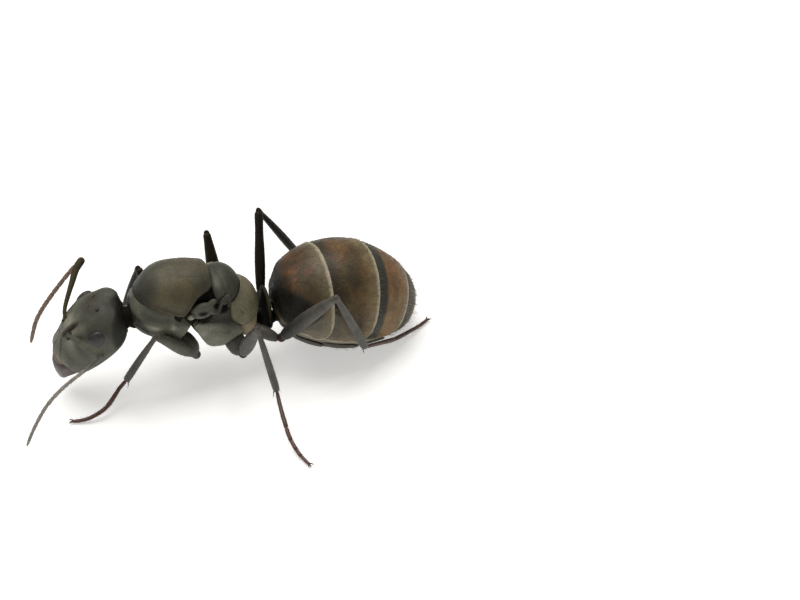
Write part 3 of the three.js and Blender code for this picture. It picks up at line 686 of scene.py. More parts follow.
def head_field(q):
    x, y, z = q.T
    d = capsule(q)
    ay = np.abs(y)
    face, t, edge, rs = face_marks(q)
    # frontal lobes: a low swelling between two sharp, diverging ridges that overhang the sockets
    window = ease(x, -0.6, -0.15) * (1 - ease(x, 0.55, 0.95))
    lobe = np.where(t < 0, np.exp(-((t / 0.26) ** 2)), np.exp(-((t / 0.03) ** 2)))
    d = d - face * window * 0.05 * lobe
    groove = ease(x, -0.42, -0.12) * (1 - ease(x, 0.5, 0.7))
    d = d + face * groove * 0.13 * bell(t - 0.065, 0.045)
    d = d + face * ease(x, -0.3, 0.1) * (1 - ease(x, 0.55, 0.8)) * 0.05 * bell(t - 0.2, 0.14)
    d = d + face * 0.05 * bell(t - 0.3, 0.3) * ease(x, -0.9, -0.3) * (1 - ease(x, 0.5, 0.9)) * (t > 0)
    # antennal socket with its rim
    d = d + face * 0.13 * np.exp(-((rs / 0.15) ** 4))
    d = d - face * 0.02 * bell(rs - 0.215, 0.045)
    # frontal triangle and the furrow up to the middle ocellus
    tri = smax(ay - 0.5 * (x - 0.42), x - 0.8, 0.03)
    d = d + face * 0.022 * ease(-tri, -0.02, 0.05)
    d = d + face * 0.014 * bell(y, 0.022) * ease(x, -0.9, -0.7) * (1 - ease(x, 0.4, 0.5))
    # clypeus: a raised keeled shield with a seam round it
    plate = ease(-edge, -0.02, 0.1)
    front = ease(z, -0.1, 0.2)
    d = d + front * 0.014 * bell(edge, 0.03)
    d = d - front * 0.035 * plate
    d = d - front * 0.028 * bell(y, 0.055) * plate
    d = d + front * 0.05 * np.exp(-(((x - 0.88) / 0.05) ** 2 + ((ay - 0.34) / 0.06) ** 2))  # tentorial pits
    # the clypeus ends in a thin lobe over the jaws
    d = d + 0.07 * bell(x - 0.85, 0.32) * bell(y - 0.5, 0.35) * front
    lip = ball(q, (1.60, 0.0, 0.66), (0.42, 0.72, 0.22))
    d = smin(d, lip, 0.08)
    # cheeks drawn in a little towards the jaws, and the sockets of the jaws
    for sign in (1, -1):
        d = smax(d, -ball(q, (1.93, 0.64 * sign, -0.08), (0.32, 0.44, 0.33)), 0.05)
    d = d + 0.02 * bell(x - 1.42, 0.03) * ease(ay, 0.7, 0.9) * (1 - front)
    # mouth recess below
    d = smax(d, -ball(q, (1.75, 0.0, -0.5), (0.75, 0.5, 0.26)), 0.08)
    d = d + 0.02 * bell(y, 0.03) * ease(-z, 0.3, 0.5)
    # orbits
    for sign in (1, -1):
        e = eye_frame(q, sign)
        k = np.sqrt((e[:, 0] / EYE_R[0]) ** 2 + (e[:, 2] / EYE_R[2]) ** 2)
        near = (y * sign > 0.6) & (np.abs(e[:, 1]) < 0.5)
        d = d - near * 0.018 * bell(k - 1.16, 0.25)
    # ocelli on a low mound
    for at in OCELLI:
        r = np.linalg.norm(q - at, axis=1)
        d = d - 0.012 * bell(r, 0.2) + 0.012 * bell(r - 0.09, 0.025)
    # the back of the head is a flat, slightly hollow slope behind a firm edge
    d = smax(d, nape_side(q) + 0.05 * bell(y, 0.7) * ease(0.5 - z, 0.0, 0.4), 0.12)
    nape = np.array([-0.78, 0.1, -0.97])
    nape = nape / np.linalg.norm(nape)
    p = q - np.array([-1.0, 0.0, -0.3])
    a = p @ nape
    rr = np.linalg.norm(p - a[:, None] * nape, axis=1)
    back = ease(a, 0.0, 0.3)
    d = d + back * (0.06 * bell(rr - 0.42, 0.1) - 0.03 * bell(rr - 0.62, 0.07))
    return d + 0.008 * ripple(q, 3.2, 11) + 0.014 * ripple(q, 1.3, 12)


V, Q = largest_part(*surface_of(head_field, (-2.3, -1.65, -1.0), (2.15, 1.65, 1.62), 0.03 * FINE))
V = relaxed(V, Q, 1, 0.3)
face, t, edge, rs = face_marks(V)
x, y, z = V.T
# shade paints light onto the head: painted shade in the slit under the left frontal carina, in the seam round the
# clypeus, at the left socket and over the back of the head (less on the far side); painted light on the face, the near
# cheek and round the right eye, with painted highlights in patches on the face and clypeus; also darker towards the
# back, beside the tops of the eyes and in patches on the cheek, a lighter clypeus, and a dark mark at the left ocellus
shade = np.ones(len(V))
shade *= 1 - 0.72 * face * ease(x, -0.4, 0.0) * (1 - ease(x, 0.65, 0.85)) * bell(t - 0.07, 0.085)
shade *= 1 - 0.08 * ease(z, -0.1, 0.2) * bell(edge, 0.035)
shade *= 1 - (0.80 - 0.72 * ease(y, 0.0, 0.4)) * ease(nape_side(V) + 0.24 * bell(y + 0.15, 0.4), -0.14, 0.04)
shade *= 1 - 0.22 * ease(-x, 0.2, 1.3)
shade *= 1 + 0.18 * ease(-edge, 0, 0.2) * ease(z, 0.1, 0.4)
shade *= 1 + 1.45 * face * bell(x - 0.15, 0.6) * bell(y + 0.1, 0.75) * (1 - 0.6 * bell(t - 0.06, 0.12)) * (1 - 0.6 * bell(rs, 0.2))
shade *= 1 - 0.35 * np.exp(-(((x + 0.35) / 0.6) ** 2 + ((np.abs(y) - 1.1) / 0.22) ** 2)) * ease(z, 0.4, 0.8)
shade *= 1 + 0.45 * bell(y - 0.75, 0.3) * bell(x + 0.85, 0.45) * face
shade *= 1 + 0.25 * bell(x - 0.4, 0.9) * ease(-y, 0.6, 1.1)
for (px, py, size), gain in (((0.1, 0.1, 0.28), 0.7), ((0.52, -0.80, 0.28), 1.0), ((1.52, -0.74, 0.24), 1.1), ((-0.38, -0.74, 0.24), 0.5), ((0.45, -1.25, 0.26), -0.35), ((-0.05, -1.36, 0.20), 0.4), ((-0.55, -1.0, 0.22), -0.3)):
    shade *= 1 + gain * np.exp(-(((x - px) ** 2 + (y - py) ** 2) / size**2)) * ease(z, 0.3, 0.6)
shade *= 1 - 0.45 * face * np.exp(-(((x - 0.52) / 0.16) ** 2 + ((y + 0.42) / 0.16) ** 2))
for at in OCELLI:
    shade *= 1 - (0.75 if at[1] < 0 else 0.0) * bell(np.linalg.norm((V - at) / np.array([1.3, 1.0, 1.0]), axis=1), 0.15)
warm = 0.6 * face * ease(x, -0.3, 0.1) * (1 - ease(x, 0.6, 0.8)) * bell(t - 0.08, 0.07)
warm = np.maximum(warm, 0.5 * ease(x, 1.5, 1.85))
warm = np.maximum(warm, 0.16 * bell(x + 1.2, 0.3) * bell(y - 0.25, 0.4) * face)
warm = np.maximum(warm, 0.35 * face * np.exp(-((rs / 0.16) ** 4)))
HEAD_MESH = (V, Q)
piece("head_shell", from_head(V), Q, None, SHELL, ["head"], {"shade": shade, "warm": np.clip(warm, 0, 1)})

# eyes: shallow domes in their orbits
for side, sign in (("left", -1), ("right", 1)):
    n1, n2 = 56, 30
    a = np.linspace(0, 2 * np.pi, n1, endpoint=False)
    b = np.linspace(0, np.pi, n2 + 1)[1:-1]
    rows = [np.array([[0, 1.0, 0]])]
    for v in b:
        rows.append(np.stack([np.sin(v) * np.cos(a), np.full(n1, np.cos(v)), np.sin(v) * np.sin(a)], 1))
    rows.append(np.array([[0, -1.0, 0]]))
    U = np.vstack(rows)
    U = np.sign(U) * np.abs(U) ** np.array([0.96, 0.9, 0.96])
    E = U * EYE_R
    j = np.arange(n1)
    k = (j + 1) % n1
    quads = np.vstack([np.stack([1 + i * n1 + j, 1 + (i + 1) * n1 + j, 1 + (i + 1) * n1 + k, 1 + i * n1 + k], 1) for i in range(len(b) - 1)])
    tris = np.vstack([np.stack([0 * j, 1 + j, 1 + k], 1), np.stack([0 * j + len(U) - 1, 1 + (len(b) - 1) * n1 + k, 1 + (len(b) - 1) * n1 + j], 1)])
    c, s = math.cos(sign * EYE_TILT), math.sin(sign * EYE_TILT)
    W = np.stack([E[:, 0], c * E[:, 1] - s * E[:, 2], s * E[:, 1] + c * E[:, 2]], 1) + EYE_AT * np.array([1, sign, 1])
    piece(f"eye_{side}_dome", from_head(W), quads, tris, EYE, [f"eye_{side}"])


def ocelli_field(q):
    d = np.full(len(q), 9.0)
    for at in OCELLI:
        d = np.minimum(d, ball(q, at - np.array([0, 0, 0.03]), (0.085, 0.08, 0.09)))
    return d


V, Q = surface_of(ocelli_field, (-1.5, -0.62, 0.92), (-0.8, 0.62, 1.5), 0.014)
piece("ocelli", from_head(V), Q, None, OCELLUS, values={"shade": np.where(V[:, 1] < -0.2, 0.9, 2.3)})


# jaws: broad curved blades, closed, with a row of teeth where they meet
JAW_EDGE = np.array([[1.4, 0.90], [1.65, 0.87], [1.9, 0.76], [2.1, 0.64], [2.3, 0.51], [2.5, 0.37], [2.66, 0.24], [2.77, 0.12], [2.84, 0.03]])


def jaw_field(q):
    """one jaw, the right one; the left is its mirror image"""
    x, y, z = q.T
    outer = table(JAW_EDGE, x, 1)
    inner = np.interp(x, [1.4, 1.62, 1.84, 1.96, 2.05, 2.75], [0.52, 0.42, 0.24, 0.06, 0.012, 0.008])
    teeth = np.zeros(len(q))
    for at in (2.16, 2.32, 2.48, 2.64):
        teeth += 0.045 * np.exp(-(((x - at) / 0.022) ** 2))
    plan = smax(y - outer, inner + teeth - y, 0.02)
    plan = smax(smax(plan, 1.42 - x, 0.05), x - 2.83, 0.03)
    u = np.clip((x - 1.85) / 0.96, 0, 1)
    top = 0.74 - 0.96 * u**2 - 0.28 * (y / np.maximum(outer, 0.1)) ** 2
    under = -0.22 - 0.24 * u**2
    d = smax(plan, smax(z - top, under - z, 0.14), 0.1)
    ridge = np.sin((y - 0.2 * x) * 46.0) * ease(y, 0.1, 0.2) * (1 - ease(y, 0.6, 0.8)) * ease(x, 1.8, 2.0) * ease(z - top, -0.06, -0.01)
    return d + 0.003 * ridge


V, Q = largest_part(*surface_of(jaw_field, (1.36, -0.08, -0.60), (2.95, 1.12, 0.86), 0.018 * FINE))
for side, sign in (("left", -1), ("right", 1)):
    W = V * np.array([1, sign, 1])
    R = Q if sign > 0 else Q[:, ::-1]
    warmth = np.clip(ease(V[:, 0], 2.0, 2.7) * 0.3, 0, 1)
    dark = 1 - 0.45 * ease(0.12 - V[:, 1], 0.0, 0.1)
    piece(f"jaw_{side}", from_head(W), R, None, JAW, [f"mandible_{side}"], {"shade": dark, "warm": warmth})

# mouthparts below the jaws, with the two pairs of palps
parts = []


def add_tube(parts, points, rows, sides=10, flat=1.0):
    v, q, t, a, r, _ = loft(points, rows, sides, flat)
    parts.append((v, q, t, a))


for sign in (1, -1):
    add_tube(parts, [(1.15, 0.2 * sign, -0.42), (1.6, 0.17 * sign, -0.42), (1.92, 0.13 * sign, -0.36)], rounded_rows([[0, 0.13], [0.5, 0.16], [1, 0.1]], 0.8, 12), 14, 0.7)
    path = [(1.3, 0.34 * sign, -0.5), (1.05, 0.42 * sign, -0.68), (0.75, 0.40 * sign, -0.80), (0.35, 0.36 * sign, -0.86), (0.0, 0.30 * sign, -0.90)]
    add_tube(parts, path, jointed_rows([0, 0.16, 0.36, 0.57, 0.79, 1.0], [[0, 0.05], [0.5, 0.045], [1, 0.03]]), 10)
    path = [(1.5, 0.1 * sign, -0.55), (1.3, 0.13 * sign, -0.7), (1.08, 0.12 * sign, -0.78), (0.85, 0.1 * sign, -0.84)]
    add_tube(parts, path, jointed_rows([0, 0.25, 0.5, 0.75, 1.0], [[0, 0.04], [0.5, 0.038], [1, 0.028]]), 10)
add_tube(parts, [(1.0, 0, -0.5), (1.45, 0, -0.52), (1.95, 0, -0.4)], rounded_rows([[0, 0.16], [0.5, 0.2], [1, 0.12]], 1.0, 12), 16, 0.6)
V, Q, T, A = joined(parts)
piece("mouthparts", from_head(V), Q, T, FEELER, values={"shade": np.full(len(V), 0.9), "warm": np.full(len(V), 0.3)})

# ------------------------------------------------------------------ thorax
THORAX_CENTRE = np.array([0.0, 0.0, 3.55])
PITCH = math.radians(7.0)
THORAX_AXES = np.array([[math.cos(PITCH), 0, math.sin(PITCH)], [0, 1, 0], [-math.sin(PITCH), 0, math.cos(PITCH)]])


def from_thorax(q):
    return q @ THORAX_AXES.T + THORAX_CENTRE


def to_thorax(p):
    return (p - THORAX_CENTRE) @ THORAX_AXES


LEGS = {
    "left_fore": dict(hip=(-1.5, -0.6, 2.35), end=(-0.24, -0.76, 1.31), knee=(-2.16, -1.83, 3.63), tarsus=[(-3.49, -1.49, 1.25), (-3.84, -1.59, 0.95), (-4.34, -1.96, 0.6), (-4.74, -2.12, 0.38), (-5.29, -2.2, 0.2), (-5.71, -2.15, 0.115), (-6.04, -2.06, 0.09)]),
    "left_mid": dict(hip=(1.25, -0.7, 2.3), end=(1.6, -1.6, 1.5), knee=(1.73, -3.85, 4.75), tarsus=[(2.48, -3.9, 1.15), (2.42, -4.58, 0.95), (2.4, -5.29, 0.72), (2.42, -6.11, 0.4), (2.56, -6.83, 0.2), (2.71, -7.24, 0.115), (2.85, -7.6, 0.09)]),
    "left_hind": dict(hip=(2.25, -0.68, 2.2), end=(3.3, -1.33, 1.73), knee=(5.3, -3.34, 5.15), tarsus=[(6.75, -2.64, 1.5), (7.59, -2.08, 1.05), (8.43, -1.53, 0.62), (9.32, -0.86, 0.3), (9.9, -0.43, 0.13), (10.37, -0.08, 0.09)]),
    "right_fore": dict(hip=(-1.5, 0.6, 2.35), end=(-0.5, 0.95, 1.3), knee=(-1.86, 2.5, 3.9), tarsus=[(-2.3, 3.4, 1.3), (-2.75, 3.75, 0.7), (-3.2, 3.85, 0.28), (-3.6, 3.75, 0.12), (-3.95, 3.6, 0.09)]),
    "right_mid": dict(hip=(1.25, 0.7, 2.3), end=(1.5, 1.6, 1.6), knee=(1.4, 3.3, 4.45), tarsus=[(1.9, 4.3, 1.4), (1.35, 4.85, 0.72), (0.8, 5.35, 0.28), (0.25, 5.75, 0.12), (-0.3, 6.1, 0.09)]),
    "right_hind": dict(hip=(2.25, 0.68, 2.2), end=(3.2, 1.25, 1.8), knee=(3.8, 3.5, 4.95), tarsus=[(5.7, 4.0, 1.6), (6.4, 4.2, 0.85), (7.1, 4.45, 0.3), (7.8, 4.62, 0.12), (8.4, 4.75, 0.09)]),
}
COXA_R = {"fore": (0.42, 0.53, 0.32), "mid": (0.4, 0.46, 0.32), "hind": (0.4, 0.48, 0.32)}


def coxa_rod(q, name):
    """rough distance to a coxa, from points in the thorax frame"""
    leg = LEGS[name]
    a, b = to_thorax(np.array([leg["hip"], leg["end"]], float))
    r = COXA_R[name.split("_")[1]]
    m = (a + b) / 2
    return np.minimum(rod(q, a + (b - a) * 0.25, m, r[1] - 0.03, r[1]), rod(q, m, b - (b - a) * 0.2, r[1], r[2]))


SHIELD_EDGE = np.array([[-2.95, 0.74], [-2.3, 0.76], [-1.8, 0.70], [-1.3, 0.60], [-1.05, 0.55], [-0.88, 0.60], [-0.72, 0.80], [-0.52, 1.08], [-0.33, 1.27], [-0.08, 1.38], [0.2, 1.46], [0.5, 1.60], [0.8, 1.74]])


def shield_side(q):
    """negative below the lower edge of the scutum"""
    x, y, z = q.T
    slope = np.interp(x, [-1.1, -0.8, -0.4, 0.1, 0.8], [0.97, 0.72, 0.70, 0.92, 0.88])
    return (z - table(SHIELD_EDGE, x, 1)) * slope


def scutum_field(q, grow=0.0):
    x, y, z = q.T
    d = ball(q, (-0.55, 0, 0.4), (2.3, 1.66, 1.6))
    d = d - 0.10 * bell(x + 1.7, 0.75) * ease(z, 0.8, 1.5)
    # a faint flattening on top, two long side lines and a short middle line
    d = d + 0.009 * bell(np.abs(y) - 0.62, 0.04) * ease(x, -1.25, -1.0) * (1 - ease(x, 0.3, 0.5)) * ease(z, 1.2, 1.5)
    d = d + 0.012 * bell(y, 0.03) * ease(x, -2.4, -2.1) * (1 - ease(x, -1.2, -0.9)) * ease(z, 0.9, 1.2)
    side = shield_side(q)
    d = d - 0.012 * bell(side - 0.07, 0.05) + 0.012 * bell(side - 0.2, 0.08)
    rear = x - 0.44 + 0.14 * (z - 1.6) + 0.10 * np.clip(np.abs(y) - 0.3, 0, 1)
    d = smax(smax(d - grow, -side - grow, 0.07), rear - grow, 0.05)
    return d


def scutellum_field(q, grow=0.0):
    x, y, z = q.T
    d = ball(q, (0.90, 0, 0.92), (0.92, 1.08, 0.82))
    d = d + 0.03 * bell(x - 0.72 - 0.25 * np.abs(y), 0.05) * ease(z, 1.0, 1.4)  # groove behind the axillae
    d = d - grow
    return d


def propodeum_field(q, grow=0.0):
    x, y, z = q.T
    ay = np.abs(y)
    d = ball(q, (1.72, 0, -0.3), (1.06, 1.22, 1.36))
    d = smin(d, ball(np.stack([x, ay, z], 1), (2.12, 0.74, -0.86), (0.52, 0.44, 0.50)), 0.15)  # over the hind hips
    # angled hind slope, spiracle slit, and the seam to the plate over the hind hip
    d = d + 0.05 * bell(z + 0.55 - 0.3 * (x - 1.7), 0.05) * ease(ay, 0.5, 0.8) * (1 - ease(x, 2.45, 2.6))
    sp = turned(q, (1.78, 0, 0.18), "y", -28)
    k = np.sqrt((sp[:, 0] / 0.055) ** 2 + (sp[:, 2] / 0.15) ** 2)
    d = d + ease(ay, 0.7, 0.9) * (0.06 * np.exp(-(k**2)) - 0.014 * bell(k - 1.7, 0.5))
    d = d - 0.03 * bell(x - 1.1 + 0.25 * (z - 0.4), 0.09) * ease(z, 0.1, 0.5)  # raised front rim
    return d - grow


def front_cut(q):
    """positive in front of and below the side plates, where the fore hips swing"""
    return -(q[:, 0] + 0.48) * 0.85 - (q[:, 2] + 0.12) * 0.53


def side_field(q):
    x, y, z = q.T
    d = ball(q, (0.3, 0, -0.15), (1.7, 1.6, 1.55))
    for s in (1, -1):
        d = smin(d, ball(q, (0.85, 0.6 * s, -0.78), (1.32, 0.95, 1.0)), 0.22)
    return d


def collar_plane(q):
    """positive behind the joint between collar and side plate"""
    c, s = math.cos(math.radians(28)), math.sin(math.radians(28))
    return (q[:, 0] + 0.42) * c - (q[:, 2] + 0.2) * s


def wing_hollow(q):
    """the hollow where the wings broke off"""
    ay = np.abs(q[:, 1])
    p = np.stack([q[:, 0], ay, q[:, 2]], 1)
    a = ball(turned(p, (0.02, 1.60, 0.66), "y", -24), (0, 0, 0), (0.86, 0.44, 0.52))
    b = ball(turned(p, (1.02, 1.22, 0.84), "y", 20), (0, 0, 0), (0.42, 0.40, 0.52))
    return smin(a, b, 0.12)


def pleuron_field(q):
    x, y, z = q.T
    ay = np.abs(y)
    d = side_field(q)
    # the oblique seam between the upper and the lower side plate, the lower one fuller
    seam = z - 0.03 + 0.28 * (x - 0.3) - 0.10 * np.sin(x * 2.2)
    lateral = ease(ay, 0.6, 1.0)
    d = d + lateral * 0.05 * bell(seam - 0.03, 0.05) * ease(x, -0.9, -0.5)
    d = d + lateral * 0.13 * ease(seam, -0.04, 0.14)
    d = d + 0.025 * bell(collar_plane(q) - 0.14, 0.045)
    d = d + 0.03 * bell(y, 0.04) * ease(-z, 0.9, 1.2)
    d = smax(d, -wing_hollow(q), 0.07)
    d = smax(d, -(scutum_field(q, 0.05)), 0.03)
    d = smax(d, -(scutellum_field(q, 0.05)), 0.03)
    d = smax(d, -(propodeum_field(q, 0.045)), 0.03)
    d = smax(d, 0.02 - collar_plane(q), 0.04)
    d = smax(d, front_cut(q), 0.14)
    for name in LEGS:
        if "fore" not in name:
            d = smax(d, -(coxa_rod(q, name) - 0.05), 0.04)
    return d


def collar_field(q):
    x, y, z = q.T
    ay = np.abs(y)
    d = ball(q, (-1.66, 0, 0), (1.3, 1.36, 1.27))
    for s in (1, -1):
        d = smin(d, ball(q, (-0.95, 0.52 * s, -0.55), (1.2, 0.78, 0.86)), 0.2)
    # neck flange, the fold over the shoulder and the seam above the fore hip
    d = d - 0.04 * bell(x + 2.78 - 0.12 * z, 0.06)
    d = d - 0.05 * bell(z + 0.12 + 0.16 * (x + 1.5), 0.16) * ease(ay, 0.7, 1.1)
    d = d + 0.035 * bell(z - 0.22 + 0.12 * (x + 1.5), 0.14) * ease(ay, 0.7, 1.1)
    d = d + 0.035 * bell(z + 0.62 + 0.25 * (x + 1.5), 0.05) * ease(ay, 0.4, 0.7)
    d = d - 0.05 * np.exp(-(((x + 1.15) / 0.16) ** 2 + ((z + 0.2) / 0.2) ** 2)) * ease(ay, 0.8, 1.1)
    d = smax(d, -(scutum_field(q, 0.035)), 0.03)
    d = smax(d, collar_plane(q) + 0.018, 0.04)
    for name in LEGS:
        if "fore" in name:
            d = smax(d, -(coxa_rod(q, name) - 0.05), 0.04)
    head = to_head(from_thorax(q))
    d = smax(d, -(capsule(head) - 0.05), 0.03)
    return d


def bent(field, seed, amount=0.007):
    return lambda q: field(q) + amount * ripple(q, 2.4, seed)


def plate(name, field, low, high, h, material, nodes, tone=None, seed=3):
    V, Q = largest_part(*surface_of(bent(field, seed), low, high, h * FINE))
    V = relaxed(V, Q, 1, 0.3)
    shade = np.ones(len(V))
    warm = np.zeros(len(V))
    if tone is not None:
        s, w = tone(V)
        shade, warm = shade * s, np.clip(warm + w, 0, 1)
    piece(name, from_thorax(V), Q, None, material, nodes, {"shade": shade, "warm": warm})
    return V, Q


# painted light on the scutum: painted shade along its lower edge, painted highlights over the top and at the two rear
# corners; also darker at the front and low on the near flank, and lighter in a patch on the near flank
def scutum_painted_light(q):
    x, y, z = q.T
    side = shield_side(q)
    s = 1 - 0.35 * bell(side - 0.12, 0.2) - 0.4 * bell(side - 0.01, 0.03)
    s = 1.12 * s * (1 + 0.35 * bell(y - 0.25, 0.55) * ease(z, 1.2, 1.8)) * (1 - 0.22 * bell(y + 0.95, 0.35) * ease(x, -1.8, 0.2))
    s = s * (1 - 0.35 * bell(x + 2.3, 0.45) * bell(y + 0.5, 0.5)) * (1 + 0.25 * bell(x + 0.9, 0.7) * bell(y + 0.75, 0.3))
    s = s * (1 + 0.4 * bell(x - 0.55, 0.12) * bell(np.abs(y) - 0.5, 0.3))
    return s, 0 * x


# painted light on the collar: painted highlights on the fold over the shoulder and on the bump behind it, painted shade
# in the groove above the fold and along the front and lower edge; also lighter on the neck flange
def collar_painted_light(q):
    x, y, z = q.T
    s = 1.55 + 0.35 * bell(x + 2.75, 0.12) + 5.5 * bell(z + 0.16 + 0.1 * (x + 2.2), 0.15) * bell(x + 2.0, 0.26) * ease(np.abs(y), 0.6, 1.0) - 0.45 * bell(z - 0.25 + 0.12 * (x + 1.5), 0.14) * ease(np.abs(y), 0.6, 1.0)
    s = s + 1.8 * bell(x + 1.27, 0.13) * bell(z + 0.20, 0.2) * ease(np.abs(y), 0.6, 1.0)
    s = s * (1 - 0.8 * ease(-0.8 * x - 0.5 * z, 1.96, 2.12) * ease(0.35 - z, 0.0, 0.3))
    return s, 0 * x


# painted light on the side plates: the lower plate lighter as painted light from the floor below, and painted shade on
# the upper plate and in the wing hollow
def side_painted_light(q):
    x, y, z = q.T
    seam = z - 0.03 + 0.28 * (x - 0.3) - 0.10 * np.sin(x * 2.2)
    s = 1.15 + 1.35 * ease(-seam, 0.0, 0.30) * (1 - 0.35 * ease(-z, 0.9, 1.5)) - 0.45 * ease(seam, -0.02, 0.1)
    s = s * (1 - 0.85 * ease(-wing_hollow(q), -0.12, -0.02))
    return s, 0 * x


SCUTUM = plate("scutum", scutum_field, (-3.0, -1.8, 0.3), (1.05, 1.8, 2.15), 0.032, SHELL_TOP, ["thorax_scutum"], scutum_painted_light, 21)
# the scutellum's shade is lighter at its two front corners by the axillae, a painted highlight
SCUTELLUM = plate("scutellum", lambda q: smax(scutellum_field(q), -(scutum_field(q, 0.035)), 0.04), (0.1, -1.2, 0.0), (2.0, 1.2, 1.85), 0.03, SHELL, ["thorax_scutellum"], lambda q: (0.9 + 1.6 * np.exp(-(((q[:, 0] - 0.62) / 0.16) ** 2 + ((np.abs(q[:, 1]) - 0.72) / 0.24) ** 2)), 0 * q[:, 0]), 5)


def hips_out(d, q):
    for name in LEGS:
        if "fore" not in name:
            d = smax(d, -(coxa_rod(q, name) - 0.05), 0.04)
    return d


# the propodeum's shade is lighter and warmer low down, with a painted highlight on the raised front rim
PROPODEUM = plate("propodeum", lambda q: hips_out(smax(smax(propodeum_field(q), -(scutellum_field(q, 0.035)), 0.04), -(scutum_field(q, 0.035)), 0.03), q), (0.5, -1.4, -1.8), (2.95, 1.4, 1.3), 0.032, SHELL_PALE, ["thorax_propodeum"], lambda q: ((1.4 + 0.5 * ease(-q[:, 2], 0.2, 0.7)) * (1 + 0.4 * bell(q[:, 0] - 1.32 + 0.2 * (q[:, 2] - 0.4), 0.10)), 0.3 * ease(-q[:, 2], 0.2, 0.8)), 8)
PLEURON = plate("side_plates", pleuron_field, (-1.6, -1.8, -2.0), (2.35, 1.8, 1.6), 0.034, SHELL, ["thorax_mesopleuron"], side_painted_light, 4)
COLLAR = plate("collar", collar_field, (-3.1, -1.55, -1.6), (0.35, 1.55, 1.4), 0.034, SHELL, ["thorax_pronotum"], collar_painted_light, 9)


# the soft body under the plates closes every seam; its near-black colour is painted shade in the seams
def core_field(q):
    d = smin(ball(q, (-1.5, 0, 0), (1.15, 1.2, 1.1)), ball(q, (0.3, 0, -0.1), (1.45, 1.26, 1.3)), 0.15)
    d = smin(d, ball(q, (-0.45, 0, 0.42), (1.95, 1.34, 1.35)), 0.15)
    d = smin(d, ball(q, (1.02, 0, 0.85), (0.68, 0.88, 0.66)), 0.15)
    d = smin(d, ball(q, (1.7, 0, -0.3), (0.94, 1.08, 1.22)), 0.15)
    d = smax(d, -(wing_hollow(q) - 0.06), 0.05)
    d = smax(d, np.where(q[:, 0] > -0.9, front_cut(q + np.array([0.1, 0, 0])), -9.0), 0.02)
    head = to_head(from_thorax(q))
    return smax(d, -(capsule(head) - 0.1), 0.05)


V, Q = largest_part(*surface_of(core_field, (-2.8, -1.6, -1.75), (2.85, 1.6, 2.0), 0.06))
piece("thorax_membrane", from_thorax(V), Q, None, MEMBRANE_SHADED, values={"shade": np.full(len(V), 0.7), "warm": np.zeros(len(V))})


# wing scars: hinge plates, stubs and pits left in the hollow
def scar_field(q, s):
    p = q * np.array([1, s, 1])
    d = ball(turned(p, (-0.60, 1.56, 0.50), "y", -20), (0, 0, 0), (0.19, 0.15, 0.13))  # tegula
    stub = ball(turned(p, (-0.10, 1.42, 0.66), "y", -16), (0, 0, 0), (0.52, 0.24, 0.38))
    stub = smax(stub, -ball(turned(p, (-0.10, 1.68, 0.66), "y", -10), (0, 0, 0), (0.17, 0.14, 0.08)), 0.06)
    stub = stub + 0.025 * bell(p[:, 2] - 0.72 - 0.35 * (p[:, 0] + 0.1), 0.03) * ease(p[:, 0], -0.1, 0.1)
    d = smin(d, stub, 0.03)
    d = smin(d, ball(turned(p, (0.30, 1.34, 0.98), "y", -35), (0, 0, 0), (0.24, 0.13, 0.13)), 0.03)
    d = smin(d, ball(turned(p, (0.40, 1.40, 0.54), "y", 10), (0, 0, 0), (0.20, 0.13, 0.15)), 0.03)
    d = smin(d, rod(p, (0.62, 1.34, 0.40), (0.84, 1.20, 0.98), 0.09, 0.07), 0.04)
    hind = ball(turned(p, (1.0, 1.10, 0.88), "y", 25), (0, 0, 0), (0.17, 0.15, 0.28))
    hind = smax(hind, -ball(p, (1.02, 1.26, 0.86), (0.07, 0.09, 0.1)), 0.02)
    d = smin(d, hind, 0.03)
    d = smin(d, rod(p, (1.16, 1.0, 0.42), (1.30, 0.96, 1.05), 0.06, 0.05), 0.03)
    return d


for side, sign in (("left", -1), ("right", 1)):
    lo, hi = (-0.9, 0.75, 0.2), (1.5, 1.8, 1.35)
    V, Q = surface_of(lambda q: scar_field(q, 1.0) + 0.004 * ripple(q, 9.0, 2), lo, hi, 0.022 * FINE)
    W = V * np.array([1, sign, 1])
    # shade: darker towards the rear, a painted highlight on the tegula and painted shade in the pit of the wing stub
    light = 1.15 - 0.45 * ease(V[:, 0], 0.2, 0.6) + 2.2 * (1 - ease(ball(V, (-0.62, 1.62, 0.50), (0.12, 0.12, 0.1)), -0.02, 0.03))
    light = light * (1 - 0.7 * ease(-ball(V, (-0.12, 1.66, 0.66), (0.24, 0.2, 0.14)), -0.05, 0.03))
    piece(f"wing_scar_{side}", from_thorax(W), Q if sign > 0 else Q[:, ::-1], None, SHELL, values={"shade": light, "warm": np.zeros(len(V))})

# neck: soft tube with two hard rings, near black as painted shade behind the head
C, _, _, _, L = smooth_path([(-3.62, -0.07, 3.42), (-3.1, -0.05, 3.5), (-2.3, 0, 3.46)])
rows = rounded_rows([[0, 0.46], [0.25, 0.44], [0.38, 0.50], [0.5, 0.45], [0.66, 0.54], [0.8, 0.52], [1, 0.54]], L, 40, (0.5, 0.5))
V, Q, T, A, R, _ = loft([(-3.62, -0.07, 3.42), (-3.1, -0.05, 3.5), (-2.3, 0, 3.46)], rows, 40)
piece("neck_tube", V, Q, T, MEMBRANE_SHADED, ["neck"], {"shade": 0.8 * np.ones(len(V)), "warm": np.zeros(len(V))})


